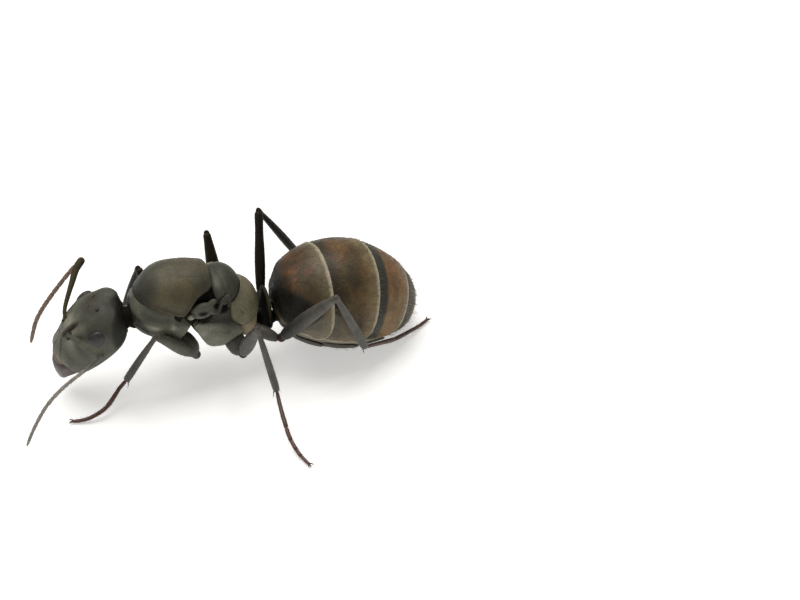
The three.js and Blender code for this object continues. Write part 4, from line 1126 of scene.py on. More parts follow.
# ------------------------------------------------------------------ petiole
def petiole_field(p):
    """in the common frame: a stalk with one upright, leaf-shaped scale"""
    x, y, z = p.T
    u = np.clip((z - 1.5) / 2.02, 0, 1)
    half = 0.80 * np.sqrt(np.clip(1 - np.abs(2 * u - 1) ** 3.0, 0, 1)) * (1 - 0.04 * bell(u - 1, 0.1))
    thick = 0.30 - 0.20 * u**1.4
    middle = 3.04 + 0.02 * u + 0.05 * np.abs(y)
    leaf = ball(p, (3.03, 0, 2.55), (0.30, 0.80, 0.98))
    slab = np.abs(x - middle) - thick * np.sqrt(np.clip(1 - (y / np.maximum(half, 0.05)) ** 2, 0.02, 1))
    edge = np.sqrt((np.abs(y) / 0.80) ** 2.2 + (np.abs(z - 2.52) / 1.0) ** 2.6 + 1e-9) - 1
    d = smax(slab, edge * 0.75, 0.07)
    d = smin(d, rod(p, (2.8, 0, 1.95), (3.95, 0.02, 1.9), 0.29, 0.25), 0.12)
    d = smin(d, ball(p, (2.95, 0, 1.78), (0.36, 0.46, 0.30)), 0.12)
    d = d + 0.03 * bell(x - 3.5, 0.05)
    return smax(d, -(propodeum_field(to_thorax(p), 0.03)), 0.03) + 0.005 * ripple(p, 4.0, 6)


V, Q = largest_part(*surface_of(petiole_field, (2.35, -0.95, 1.3), (4.25, 0.95, 3.65), 0.026 * FINE))
V = relaxed(V, Q, 1, 0.3)
# a lighter rim round the upper edge of the scale, a painted highlight
rim = np.sqrt((V[:, 1] / 0.80) ** 2 + (np.abs(V[:, 2] - 2.52) / 1.0) ** 2)
rim = ease(rim, 0.95, 1.0) * ease(V[:, 2], 2.0, 2.4)
piece("petiole_scale", V, Q, None, SHELL_DEEP, ["petiole"], {"shade": 1 + 9.0 * rim * ease(V[:, 0], 2.9, 3.1), "warm": 0.2 * ease(V[:, 0], 3.4, 3.9)})
PETIOLE_MESH = (V, Q)

# ------------------------------------------------------------------ gaster
G_START, G_LENGTH = np.array([3.364, 0.024, 2.48]), 6.6
G_YAW, G_DIP = (1.24, 8.95), (-3.8, 39.7)
G_HALF, G_UP, G_DOWN = 2.57, 2.54, 2.02
G_PROFILE = np.array([[0, 0], [0.012, 0.27], [0.03, 0.43], [0.1, 0.7], [0.2, 0.86], [0.33, 0.965], [0.47, 1.0], [0.62, 0.935], [0.76, 0.79], [0.87, 0.61], [0.95, 0.42], [0.985, 0.25], [1, 0]])
G_MARGINS = [0, 0.291, 0.561, 0.803, 0.93, 1]


def spine_turn(u):
    yaw = np.radians(G_YAW[0] + (G_YAW[1] - G_YAW[0]) * u)
    dip = np.radians(G_DIP[0] + (G_DIP[1] - G_DIP[0]) * u)
    along = np.stack([np.cos(yaw) * np.cos(dip), np.sin(yaw) * np.cos(dip), -np.sin(dip)], -1)
    side = np.stack([-np.sin(yaw), np.cos(yaw), 0 * yaw], -1)
    return along, side, np.cross(along, side)


_steps = spine_turn((np.arange(120) + 0.5) / 120)[0] * (G_LENGTH / 120)
_spine = G_START + np.vstack([[0, 0, 0], np.cumsum(_steps, 0)])


def ring_points(u, angle, extra):
    """points of the gaster's skin at spine share u and angle, standing extra mm proud"""
    k = np.linspace(0, 1, 121)
    c = np.stack([np.interp(u, k, _spine[:, i]) for i in range(3)], -1)
    _, side, up = spine_turn(u)
    r = table(G_PROFILE, u, 1)
    cs, sn = np.cos(angle), np.sin(angle)
    half = G_HALF * r + extra
    tall = np.where(sn > 0, G_UP, G_DOWN) * r + extra
    return c + side * (half * cs)[..., None] + up * (tall * sn)[..., None]


def plate_shell(i, top, rows=58, columns=170):
    """one hard plate: a tergite over the back and flanks, or a sternite below, with a rolled free edge.
    Returns the closed mesh and, for each vertex, its place and its distance in mm to the free edge."""
    u0, u1 = G_MARGINS[i], G_MARGINS[i + 1]
    if not top:
        u1 -= 0.012
    span = u1 - u0
    first = -0.13 if i else 0.02
    t = np.linspace(first, 1, rows) if i else first + (1 - first) * np.linspace(0, 1, rows) ** 1.4
    corner = 1 - np.sqrt(1 - np.clip((t - 0.6) / 0.4, 0, 1) ** 2)
    if top:
        reach = (101.5 + 6.5 * ease(t, 0.45, 0.72) if i == 0 else 108.0) - 27.0 * corner
        centre = 90.0
    else:
        reach = 62.0 - 14.0 * corner
        centre = 270.0
    f = np.linspace(-1, 1, columns)
    TH = np.radians(centre + reach[:, None] * f[None])
    TT = np.repeat(t[:, None], columns, 1)
    U = u0 + span * TT

    def shape(U, TH, TT):
        sn = np.sin(TH)
        lift = 0.05 * np.clip(TT, 0, 1) ** 1.5
        if i:
            lift = lift - 0.035 * ease(-TT, 0.0, 0.12)
        if not top:
            lift = lift - 0.03
        P = ring_points(U.ravel(), TH.ravel(), lift.ravel())
        w = ripple(P, 1.15, 40 + i + (0 if top else 9), 2)
        _, side, up = spine_turn(U.ravel())
        out = side * np.cos(TH.ravel())[:, None] + up * sn.ravel()[:, None]
        calm = ease(U, 0.03, 0.12) * (1 - ease(TT, 0.85, 1.0))
        return P + out * (0.020 * w * calm.ravel())[:, None]

    e = 1e-3
    P = shape(U, TH, TT)
    du = shape(U + e * span, TH, TT + e) - P
    da = shape(U, TH + e, TT) - P
    N = np.cross(da, du)
    N /= np.maximum(np.linalg.norm(N, axis=1), 1e-12)[:, None]
    Pg = P.reshape(rows, columns, 3)
    # distance to the free edge, along the surface
    radius = np.linalg.norm(Pg - Pg.mean(1, keepdims=True), axis=2)
    side_gap = (1 - np.abs(f))[None] * np.radians(reach)[:, None] * radius
    rear_gap = (1 - TT) * span * G_LENGTH
    rim = np.minimum(side_gap, rear_gap)
    near = rim.ravel()
    P = P - N * (0.016 * np.exp(-near / 0.03))[:, None]
    inner = P - N * (0.034 + 0.055 * ease(near, 0.04, 0.22))[:, None]
    n = rows * columns
    idx = np.arange(n).reshape(rows, columns)
    quads = [np.stack([idx[:-1, :-1], idx[:-1, 1:], idx[1:, 1:], idx[1:, :-1]], -1).reshape(-1, 4)]
    quads.append(quads[0][:, ::-1] + n)
    loop = np.concatenate([idx[0], idx[1:, -1], idx[-1, -2::-1], idx[-2:0:-1, 0]])
    k = len(loop)
    away = np.zeros((rows, columns, 3))
    away[0] -= du.reshape(rows, columns, 3)[0]
    away[-1] += du.reshape(rows, columns, 3)[-1]
    away[:, 0] -= da.reshape(rows, columns, 3)[:, 0]
    away[:, -1] += da.reshape(rows, columns, 3)[:, -1]
    away = away.reshape(-1, 3)[loop]
    away /= np.maximum(np.linalg.norm(away, axis=1), 1e-12)[:, None]
    mid = (P[loop] + inner[loop]) / 2 + away * 0.018
    a = np.arange(k)
    b = (a + 1) % k
    quads.append(np.stack([loop[b], loop[a], 2 * n + a, 2 * n + b], 1))
    quads.append(np.stack([2 * n + b, 2 * n + a, n + loop[a], n + loop[b]], 1))
    V = np.vstack([P, inner, mid])
    V[:n, 2] = np.maximum(V[:n, 2], 0.0)
    V[n:, 2] = np.maximum(V[n:, 2], 0.012)
    along = np.concatenate([TT.ravel(), TT.ravel(), TT.ravel()[loop]])
    turn = np.concatenate([TH.ravel(), TH.ravel(), TH.ravel()[loop]])
    edge = np.concatenate([near, near + 1.0, np.zeros(k)])
    outer = np.concatenate([np.ones(n), np.zeros(n), np.zeros(k)])
    place = np.concatenate([U.ravel(), U.ravel(), U.ravel()[loop]])
    return V, np.vstack(quads), np.clip(along, 0, 1), turn, edge, outer, place


def ring_body(u, lift, sides, floor=0.0):
    """closed body round the whole spine, for the tail end and the soft skin under the plates"""
    ang = np.linspace(0, 2 * np.pi, sides, endpoint=False)
    U = np.repeat(u, sides)
    A = np.tile(ang, len(u))
    P = ring_points(U, A, np.repeat(lift, sides))
    P[:, 2] = np.maximum(P[:, 2], floor)
    j = np.arange(sides)
    k = (j + 1) % sides
    quads = np.vstack([np.stack([a * sides + j, a * sides + k, (a + 1) * sides + k, (a + 1) * sides + j], 1) for a in range(len(u) - 1)])
    n = len(P)
    V = np.vstack([P, [P[:sides].mean(0)], [P[-sides:].mean(0)]])
    tris = np.vstack([np.stack([n + 0 * j, k, j], 1), np.stack([n + 1 + 0 * j, (len(u) - 1) * sides + j, (len(u) - 1) * sides + k], 1)])
    return V, quads, tris, np.concatenate([U, [u[0], u[-1]]]), np.concatenate([A, [0, 0]])


def gaster_dark_colour_and_shade(i, along, turn):
    sn = np.sin(turn)
    # the first plate: its front over the top painted near black as painted shade, and less dark low on the flank as
    # painted light from the floor below
    if i == 0:
        limit = 0.24 + 0.56 * ease(-sn, -0.93, -0.3)
        black = 1 - ease(along, limit - 0.14, limit + 0.16)
        return 1.3 * black * ease(sn, -0.06, 0.10) - 0.3 * ease(-sn, -0.12, 0.06)
    if i == 1:
        blotch = bell(along - 0.42, 0.22) * bell(np.abs(np.cos(turn)) - 0.58, 0.22) * (sn > 0)
        return np.clip(0.75 * blotch + 0.8 * (1 - ease(along, 0.05, 0.30)), 0, 1)
    if i == 3:
        return 0.55 * (1 - ease(along, 0.4, 0.9))
    return 0 * along


GASTER_MESH = []
for i in range(4):
    for top in (True, False):
        V, Q, along, turn, edge, outer, U = plate_shell(i, top, 60 if i < 3 else 44, 180 if top else 90)
        shade = np.ones(len(V)) * (0.85 if not top else 1.0)
        # painted light from the floor below: lighter low on the flanks of the first two plates
        if i == 0 and top:
            shade = shade * (1 + 1.4 * ease(-np.sin(turn), -0.14, 0.08) * ease(along, 0.25, 0.55))
        if i == 1 and top:
            shade = shade * (1 + 0.35 * ease(-np.sin(turn), -0.25, 0.15))
        # painted light from the floor below, as a grey mix low on the first plate and low at the front of the second
        painted_bounce_light = 0 * along
        if top and i == 0:
            painted_bounce_light = 0.70 * ease(-0.04 + 0.72 * (along - 0.2) - np.sin(turn), 0.0, 0.12) * ease(along, 0.2, 0.5)
        if top and i == 1:
            painted_bounce_light = 0.42 * ease(0.50 - 0.80 * along - np.sin(turn), 0.0, 0.2)
        dark_colour_and_shade = gaster_dark_colour_and_shade(i, along, turn) if top else 0.5 * np.ones(len(V))
        name = f"gaster_{'back' if top else 'belly'}_{i + 1}"
        piece(name, V, Q, None, GASTER_SKINS[i] if top else BELLY, [f"gaster_{i + 1}"], {"along": along, "shade": shade, "rim": edge if top else edge + 0.06 + 0.3 * (1 - ease(along, 0.93, 0.98)), "dark_colour_and_shade": np.clip(dark_colour_and_shade, -0.3, 1), "painted_bounce_light": painted_bounce_light})
        GASTER_MESH.append((i, top, V, Q, U, outer, along))
# the tail end, closed, with the acid pore in its fringe of hairs
u = G_MARGINS[4] + (1 - G_MARGINS[4]) * np.linspace(-0.6, 0.998, 46)
V, Q, T, U, A = ring_body(u, np.full(len(u), -0.01), 120)
along = np.clip((U - G_MARGINS[4]) / (1 - G_MARGINS[4]), 0, 1)
piece("gaster_tail_end", V, Q, T, GASTER_SKINS[4], ["gaster_5"], {"along": along, "shade": 1 - 0.5 * ease(along, 0.9, 1.0), "rim": np.ones(len(V)), "dark_colour_and_shade": 0.4 * (1 - along)})
GASTER_MESH.append((4, True, V, Q, U, (U > G_MARGINS[4] + 0.004).astype(float), along))
u = np.linspace(0.02, 0.95, 110)
V, Q, T, U, A = ring_body(u, np.full(len(u), -0.085), 200, 0.03)
piece("gaster_soft_skin", V, Q, T, SOFT, values={"shade": 1 - 0.75 * (1 - ease(U, 0.05, 0.16))})

# ------------------------------------------------------------------ antennae
ANTENNAE = {
    "left": dict(scape=[(-5.61, -0.42, 3.45), (-5.43, -1.09, 3.67), (-5.21, -1.88, 3.94), (-4.95, -2.7, 4.25), (-4.79, -3.3, 4.46)], funiculus=[(-4.79, -3.3, 4.46), (-5.24, -3.32, 4.09), (-5.76, -3.31, 3.72), (-6.55, -3.32, 3.14), (-7.27, -3.42, 2.46), (-7.91, -3.66, 1.61), (-8.34, -3.91, 0.9)]),
    "right": dict(scape=[(-5.58, 0.48, 3.52), (-5.42, 1.02, 3.74), (-5.13, 1.57, 3.97), (-4.80, 2.14, 4.21), (-4.53, 2.63, 4.39), (-4.11, 3.07, 4.55)], funiculus=[(-4.13, 3.02, 4.48), (-4.56, 3.14, 4.05), (-5.17, 3.21, 3.25), (-5.73, 3.26, 2.45), (-6.13, 3.27, 1.81), (-6.39, 3.23, 1.28), (-6.66, 3.1, 0.40)]),
}
LIMB_MESHES = []
for side, a in ANTENNAE.items():
    pts = [np.array(p) for p in a["scape"]]
    L = smooth_path(pts)[4]
    rows = rounded_rows([[0, 0.11], [0.03, 0.10], [0.06, 0.085], [0.12, 0.105], [0.3, 0.125], [0.6, 0.155], [0.85, 0.18], [0.95, 0.185], [1, 0.13]], L, 46, (0.9, 0.7))
    if side == "right":
        rows = [[k, r * (0.78 + 0.12 * ease(k, 0.4, 0.8))] for k, r in rows]
    v, q, t, al, ro, L = loft(pts, rows, 20)
    condyle = loft([pts[0] + (pts[0] - pts[1]) * 0.12, pts[0] + (pts[1] - pts[0]) * 0.12], rounded_rows([[0, 0.13], [1, 0.11]], 0.2, 8, (0.7, 0.7)), 18)
    V, Q, T, al = joined([(v, q, t, al), (condyle[0], condyle[1], condyle[2], 0 * condyle[3])])
    piece(f"scape_{side}_rod", V, Q, T, SCAPE, [f"scape_{side}"], {"shade": (1.0 if side == "left" else 0.7) + 0 * al, "warm": (0.0 if side == "left" else 0.7 + 0.15 * bell(al - 1.0, 0.06)) + 0 * al})
    LIMB_MESHES.append((f"scape_{side}", pts, v, q, al, ro, L))
    pts = [np.array(p) for p in a["funiculus"]]
    cuts = np.concatenate([[0.0, 0.085], 0.085 + (1 - 0.085) * np.array([1.05, 2.1, 3.12, 4.12, 5.1, 6.07, 7.03, 7.98, 8.92]) / 10.5, [1.0]])
    slim = 0.82 if side == "left" else 1.0
    thick = [[k, r * slim] for k, r in [[0, 0.082], [0.05, 0.092], [0.3, 0.098], [0.6, 0.100], [0.9, 0.094], [0.96, 0.080], [1, 0.045]]]
    whole = jointed_rows(list(cuts), thick, 0.74)
    half = cuts[6]
    for part, lo, hi in (("base", 0.0, half), ("tip", half, 1.0)):
        keep = whole[(whole[:, 0] >= lo - 1e-6) & (whole[:, 0] <= hi + 2e-4)]
        keep = keep[np.argsort(keep[:, 0], kind="stable")]
        first = [[max(lo - 0.004, 0.0), 0.0]] if keep[0, 1] > 0 else []
        final = [[min(hi + 0.004, 1.0), 0.0]] if keep[-1, 1] > 0 else []
        keep = np.vstack([first, keep, final]) if first and final else np.vstack([keep, final]) if final else np.vstack([first, keep]) if first else keep
        v, q, t, al, ro, L = loft(pts, keep, 16)
        near = np.min(np.abs(al[:, None] - cuts[None, :]), axis=1)
        piece(f"funiculus_{part}_{side}_segments", v, q, t, FEELER, [f"funiculus_{part}_{side}"], {"shade": (0.75 + 1.85 * ease(al, 0.10, 0.26) if side == "left" else 1.5) * (1 - 0.3 * bell(near, 0.006)) - 0.2 * al, "warm": np.clip((0.0 if side == "left" else 0.6) + 0.3 * bell(near, 0.012), 0, 1)})
        LIMB_MESHES.append((f"funiculus_{part}_{side}", pts, v, q, al, ro, L))

# ------------------------------------------------------------------ legs
FEMUR = {"fore": [[0, 0.15], [0.08, 0.21], [0.3, 0.34], [0.5, 0.345], [0.75, 0.25], [0.92, 0.185], [1, 0.17]], "mid": [[0, 0.18], [0.08, 0.26], [0.3, 0.315], [0.5, 0.30], [0.75, 0.235], [0.92, 0.18], [1, 0.165]], "hind": [[0, 0.17], [0.08, 0.24], [0.3, 0.285], [0.5, 0.275], [0.75, 0.23], [0.92, 0.19], [1, 0.175]]}
TIBIA = {"fore": [[0, 0.12], [0.06, 0.13], [0.12, 0.115], [0.3, 0.14], [0.6, 0.165], [0.85, 0.175], [0.96, 0.165], [1, 0.14]], "mid": [[0, 0.12], [0.06, 0.13], [0.12, 0.112], [0.3, 0.14], [0.6, 0.165], [0.85, 0.172], [0.96, 0.16], [1, 0.135]], "hind": [[0, 0.12], [0.05, 0.13], [0.1, 0.112], [0.3, 0.15], [0.6, 0.185], [0.85, 0.185], [0.96, 0.165], [1, 0.14]]}


def claw_parts(tip, direction, size=0.17):
    """two curved claws and the pad between them at the end of a foot"""
    d = direction / np.linalg.norm(direction)
    side = np.cross(d, [0, 0, 1.0])
    side /= np.linalg.norm(side)
    parts = []
    for s in (1, -1):
        a = tip - d * 0.05 + side * s * 0.03
        pts = [a, a + d * 0.07 + side * s * 0.05 + np.array([0, 0, 0.03]), a + d * 0.15 + side * s * 0.085 + np.array([0, 0, 0.0]), a + d * 0.19 + side * s * 0.085 + np.array([0, 0, -0.055])]
        v, q, t, al, ro, L = loft(pts, rounded_rows([[0, 0.034], [0.4, 0.026], [0.8, 0.013], [1, 0.004]], 0.25, 10, (0.6, 0.5)), 8)
        parts.append((v, q, t, al))
    pts = [tip - d * 0.03, tip + d * 0.05 + np.array([0, 0, -0.02]), tip + d * 0.10 + np.array([0, 0, -0.03])]
    v, q, t, al, ro, L = loft(pts, rounded_rows([[0, 0.03], [0.6, 0.04], [1, 0.03]], 0.14, 8), 10, 0.6)
    parts.append((v, q, t, al))
    return parts


def spine_part(root, direction, length, r=0.012, curve=None):
    d = direction / np.linalg.norm(direction)
    c = np.zeros(3) if curve is None else np.asarray(curve, float)
    pts = [root, root + d * length * 0.5 + c * 0.6, root + d * length + c]
    v, q, t, al, ro, L = loft(pts, rounded_rows([[0, r], [0.5, r * 0.8], [1, r * 0.25]], length, 7, (0.5, 0.5)), 7)
    return (v, q, t, al)


SPURS = []
CLAWS = []
for name, leg in LEGS.items():
    side, part = name.split("_")
    hip, end, knee = (np.array(leg[k]) for k in ("hip", "end", "knee"))
    thigh = (knee - end) / np.linalg.norm(knee - end)
    down = (end - hip) / np.linalg.norm(end - hip)
    socket = end + down * (0.14 if part == "fore" else 0.0)
    # coxa: a blunt cone with a rim where the trochanter sits
    r = COXA_R[part] if part != "hind" else (0.30, 0.29, 0.20)
    L = np.linalg.norm(end - hip)
    rows = rounded_rows([[0, r[0] - 0.01], [0.25, r[1] - 0.03], [0.5, r[1] - 0.01], [0.75, (r[1] + r[2]) / 2], [0.9, r[2] - 0.01], [1, r[2] - 0.03]], L, 30, (0.9, 0.9))
    lift = np.array([0.10, 0, 0.22]) if part == "fore" else np.zeros(3)
    v, q, t, al, ro, L = loft([hip, hip + (end - hip) * 0.35 + lift, hip + (end - hip) * 0.7 + lift * 0.9, end], rows, 40, 0.93)
    mat = SHELL if part == "fore" else LIMB_GREY
    bright = 1.5 if name == "left_hind" else 1.05
    piece(f"coxa_{name}_cone", v, q, t, mat, [f"coxa_{name}"], {"shade": bright - 0.25 * bell(al - 0.97, 0.05), "warm": 0.1 * ease(al, 0.86, 1.0)})
    LIMB_MESHES.append((f"coxa_{name}", [hip, end], v, q, al, ro, L))
    # trochanter: a small knob
    ends = [socket, socket + thigh * 0.62]
    rows = rounded_rows([[0, 0.17], [0.25, 0.195], [0.5, 0.19], [0.75, 0.17], [1, 0.15]], 0.62, 18, (0.8, 0.8))
    v, q, t, al, ro, L = loft(ends, rows, 24)
    piece(f"trochanter_{name}_knob", v, q, t, SHELL if name == "left_fore" else LIMB, [f"trochanter_{name}"], {"shade": (0.8 if name == "left_fore" else 1.8) + 0 * al, "warm": 0.10 + 0 * al})
    # femur: spindle, waisted at its base
    base = socket + thigh * (0.14 if part == "fore" else 0.30)
    tip = knee + thigh * 0.02
    L = np.linalg.norm(tip - base)
    bow = np.array([-0.24, 0, 0.08]) if name == "right_fore" else np.array([0, 0, 0.05])
    girth = {"left_hind": 1.24, "right_hind": 0.80}.get(name, 1.0)
    pts = [base, (base + tip) / 2 + bow, tip]
    v, q, t, al, ro, L = loft(pts, rounded_rows([[k, r * (girth if k < 0.8 else 1.0)] for k, r in FEMUR[part]], L, 40, (0.9, 0.8)), 28, 0.88)
    # the shin runs from the knee to the ankle
    ankle = np.array(leg["tarsus"][0])
    shin = (ankle - knee) / np.linalg.norm(ankle - knee)
    # far-side femora take the dark limb material, painted shade
    piece(f"femur_{name}_spindle", v, q, t, SHELL if name == "left_fore" else LIMB_GREY if side == "left" else LIMB, [f"femur_{name}"], {"shade": ({"fore": 0.95, "mid": 0.62, "hind": 0.20 + 0.75 * ease(al, 0.12, 0.6)}[part] if side == "left" else 1.0) * (1 + 0.3 * al), "warm": np.clip(0.15 * bell(al, 0.05) + 0.15 * ease(al, 0.93, 1.0), 0, 1)})
    LIMB_MESHES.append((f"femur_{name}", pts, v, q, al, ro, L))
    # tibia: narrow at the knee, widening to its end
    start = knee - shin * 0.10
    pts = [start, start + shin * 0.18 + thigh * 0.015, (start + ankle) / 2 + thigh * 0.03, ankle]
    L = smooth_path(pts)[4]
    stout = 1.14 if name == "left_hind" else 1.0
    v, q, t, al, ro, L = loft(pts, rounded_rows([[k, r * stout] for k, r in TIBIA[part]], L, 44, (0.9, 0.6)), 24, 0.92)
    # far-side tibiae take the dark limb material, painted shade
    skin = LIMB_GREY if side == "left" else LIMB
    piece(f"tibia_{name}_shaft", v, q, t, skin, [f"tibia_{name}"], {"shade": 1 + 0 * al, "warm": np.clip(0.2 * ease(-al, -0.10, 0.0) + 0.65 * ease(al, 0.93, 1.0), 0, 1)})
    LIMB_MESHES.append((f"tibia_{name}", pts, v, q, al, ro, L))
    # tarsus: one long joint, three short ones and the clawed end
    foot = [np.array(p) for p in leg["tarsus"]]
    first = foot[0] - (foot[1] - foot[0]) / np.linalg.norm(foot[1] - foot[0]) * 0.05
    pts = [first] + foot[1:]
    cuts = [0.0, 0.47, 0.63, 0.755, 0.85, 1.0]
    thick = [[0, 0.085], [0.1, 0.088], [0.45, 0.098], [0.6, 0.092], [0.8, 0.085], [0.93, 0.078], [1, 0.06]]
    v, q, t, al, ro, L = loft(pts, jointed_rows(cuts, thick, 0.62), 18)
    v[:, 2] = np.maximum(v[:, 2], 0.0)
    near = np.min(np.abs(al[:, None] - np.array(cuts)[None, :]), axis=1)
    tarsus_parts = [(v, q, t, al)]
    C, Tn, Nn, Bn, Lt = smooth_path(pts)
    rng = np.random.default_rng(abs(int(foot[0][0] * 1000)) + 7)
    for c in cuts[1:-1]:
        k = int(c * (len(C) - 1)) - 1
        for w in range(7):
            ang = 2 * np.pi * w / 7 + 0.3
            outd = Nn[k] * math.cos(ang) + Bn[k] * math.sin(ang)
            s = spine_part(C[k] + outd * 0.075, Tn[k] * 0.85 + outd * 0.55, 0.13, 0.008)
            if s[0][:, 2].min() > -0.02:
                tarsus_parts.append(s)
    V, Q, T, A = joined(tarsus_parts)
    V[:, 2] = np.maximum(V[:, 2], 0.0)
    nearA = np.min(np.abs(A[:, None] - np.array(cuts)[None, :]), axis=1)
    piece(f"tarsus_{name}_segments", V, Q, T, FOOT, [f"tarsus_{name}"], {"shade": 1 - 0.25 * bell(nearA, 0.01), "warm": np.clip(0.3 + 0.3 * A, 0, 1)})
    LIMB_MESHES.append((f"tarsus_{name}", pts, v, q, al, ro, L))
    step = pts[-1] - pts[-2]
    CLAWS += claw_parts(pts[-1] + np.array([0, 0, 0.0]), np.array([step[0], step[1], 0.0]))
    # spur at the end of the tibia, under the ankle
    low = np.array([0, 0, -1.0]) - shin * (-shin[2])
    low = low / np.linalg.norm(low)
    size = 0.42 if part == "fore" else 0.34
    SPURS.append(spine_part(ankle - shin * 0.06 + low * 0.11, shin * 0.9 + low * 0.35, size, 0.026, (foot[1] - foot[0]) * 0.05))
    for w in range(5):
        ang = 2 * np.pi * w / 5
        a1 = np.cross(shin, low)
        outd = low * math.cos(ang) + a1 * math.sin(ang)
        SPURS.append(spine_part(ankle - shin * 0.08 + outd * 0.12, shin * 0.9 + outd * 0.5, 0.14, 0.009))

V, Q, T, A = joined(CLAWS)
V[:, 2] = np.maximum(V[:, 2], 0.0)
piece("claws", V, Q, T, CLAW, values={"shade": 1 - 0.5 * A, "warm": 0.2 + 0 * A})
V, Q, T, A = joined(SPURS)
V[:, 2] = np.maximum(V[:, 2], 0.004)
piece("tibial_spurs", V, Q, T, FOOT, values={"shade": 1 + 0 * A, "warm": 0.5 + 0 * A})


# ------------------------------------------------------------------ hair
def scatter(V, quads, count, seed, allowed=None):
    """random roots on a surface, with their outward normals"""
    rng = np.random.default_rng(seed)
    tri = np.vstack([quads[:, [0, 1, 2]], quads[:, [0, 2, 3]]])
    a, b, c = V[tri[:, 0]], V[tri[:, 1]], V[tri[:, 2]]
    n = np.cross(b - a, c - a)
    area = np.linalg.norm(n, axis=1)
    weight = area.copy()
    if allowed is not None:
        weight *= allowed(((a + b + c) / 3), n / np.maximum(area, 1e-12)[:, None])
    pick = rng.choice(len(tri), size=count, p=weight / weight.sum())
    u, v = rng.random(count), rng.random(count)
    over = u + v > 1
    u[over], v[over] = 1 - u[over], 1 - v[over]
    P = a[pick] + u[:, None] * (b - a)[pick] + v[:, None] * (c - a)[pick]
    # smooth normals
    vn = np.zeros_like(V)
    for k in range(3):
        np.add.at(vn, tri[:, k], n)
    vn /= np.maximum(np.linalg.norm(vn, axis=1), 1e-12)[:, None]
    N = vn[tri[pick, 0]] * (1 - u - v)[:, None] + vn[tri[pick, 1]] * u[:, None] + vn[tri[pick, 2]] * v[:, None]
    N /= np.maximum(np.linalg.norm(N, axis=1), 1e-9)[:, None]
    return P, N, rng, pick


def coat(name, P, N, lie, length, width, lift, rng, material, uv, floor=0.004, bend=0.35):
    """every hair is a closed, tapering three-sided spike that bends back towards the body"""
    lie = lie - N * (lie * N).sum(1)[:, None]
    lie /= np.maximum(np.linalg.norm(lie, axis=1), 1e-9)[:, None]
    side = np.cross(N, lie)
    turn = rng.normal(0, 0.22, len(P))
    lie, side = lie * np.cos(turn)[:, None] + side * np.sin(turn)[:, None], side * np.cos(turn)[:, None] - lie * np.sin(turn)[:, None]
    L = length * (0.7 + 0.6 * rng.random(len(P)))
    a = lift * (0.7 + 0.6 * rng.random(len(P)))
    verts, along, uvs = [], [], []
    ang = np.array([0.5, 0.5 + 2 / 3, 0.5 + 4 / 3]) * np.pi
    width = np.broadcast_to(width, (len(P),))
    for s, w in ((-0.06, 0.8), (0.5, 0.75), (1.0, 0.0)):
        rise = a * (s - bend * s * s)
        c = P + lie * (L * s * np.cos(a))[:, None] + N * (L * rise)[:, None]
        if w > 0:
            for k, g in enumerate(ang):
                o = side * (0.5 * width * w * math.cos(g))[:, None] + N * (0.5 * width * w * math.sin(g))[:, None]
                verts.append(c + o)
                along.append(np.full(len(P), max(s, 0)))
                uvs.append(uv + np.array([0.0015 * k, 0.0015 * (s > 0)]))
        else:
            verts.append(c)
            along.append(np.ones(len(P)))
            uvs.append(uv + np.array([0.0015, 0.003]))
    V = np.stack(verts, 1).reshape(-1, 3)
    V[:, 2] = np.maximum(V[:, 2], floor)
    A = np.stack(along, 1).ravel()
    UV = np.stack(uvs, 1).reshape(-1, 2)
    local = np.array([[0, 1, 4], [0, 4, 3], [1, 2, 5], [1, 5, 4], [2, 0, 3], [2, 3, 5], [3, 4, 6], [4, 5, 6], [5, 3, 6], [0, 2, 1]])
    T = (np.arange(len(P)) * 7)[:, None, None] + local[None]
    T = T.reshape(-1, 3)
    ob = piece(name, V, np.zeros((0, 4)), T, material, values={"along": A}, soft=False)
    layer = ob.data.uv_layers.new(name="OFBake")
    loops = np.zeros(len(ob.data.loops), np.int32)
    ob.data.loops.foreach_get("vertex_index", loops)
    layer.data.foreach_set("uv", UV[loops].astype(np.float32).ravel())
    return ob


def roll_uv(q, radius=3.0):
    """unwrap of a body part's own shape: round its long axis, and along it"""
    a = np.arctan2(q[:, 2], q[:, 1]) / (2 * np.pi) + 0.5
    return np.stack([0.01 + 0.97 * a, 0.01 + 0.97 * np.clip((q[:, 0] + radius) / (2 * radius), 0, 1)], 1)


# silky down and long edge hairs of the gaster
SPINE_SHARE = np.linspace(0, 1, 121)


def along_gaster(P):
    """share of the spine nearest to each point, the direction of the tail there, and an unwrap of the skin"""
    share = np.argmin(((P[:, None] - _spine[None, ::4]) ** 2).sum(2), 1) * 4 / 120
    al, sd, up = spine_turn(share)
    c = np.stack([np.interp(share, SPINE_SHARE, _spine[:, m]) for m in range(3)], -1)
    turn = np.arctan2(((P - c) * up).sum(1), ((P - c) * sd).sum(1)) / (2 * np.pi) + 0.5
    return al, np.stack([0.01 + 0.97 * turn, 0.01 + 0.97 * np.clip(share + 0.004, 0, 1)], 1)


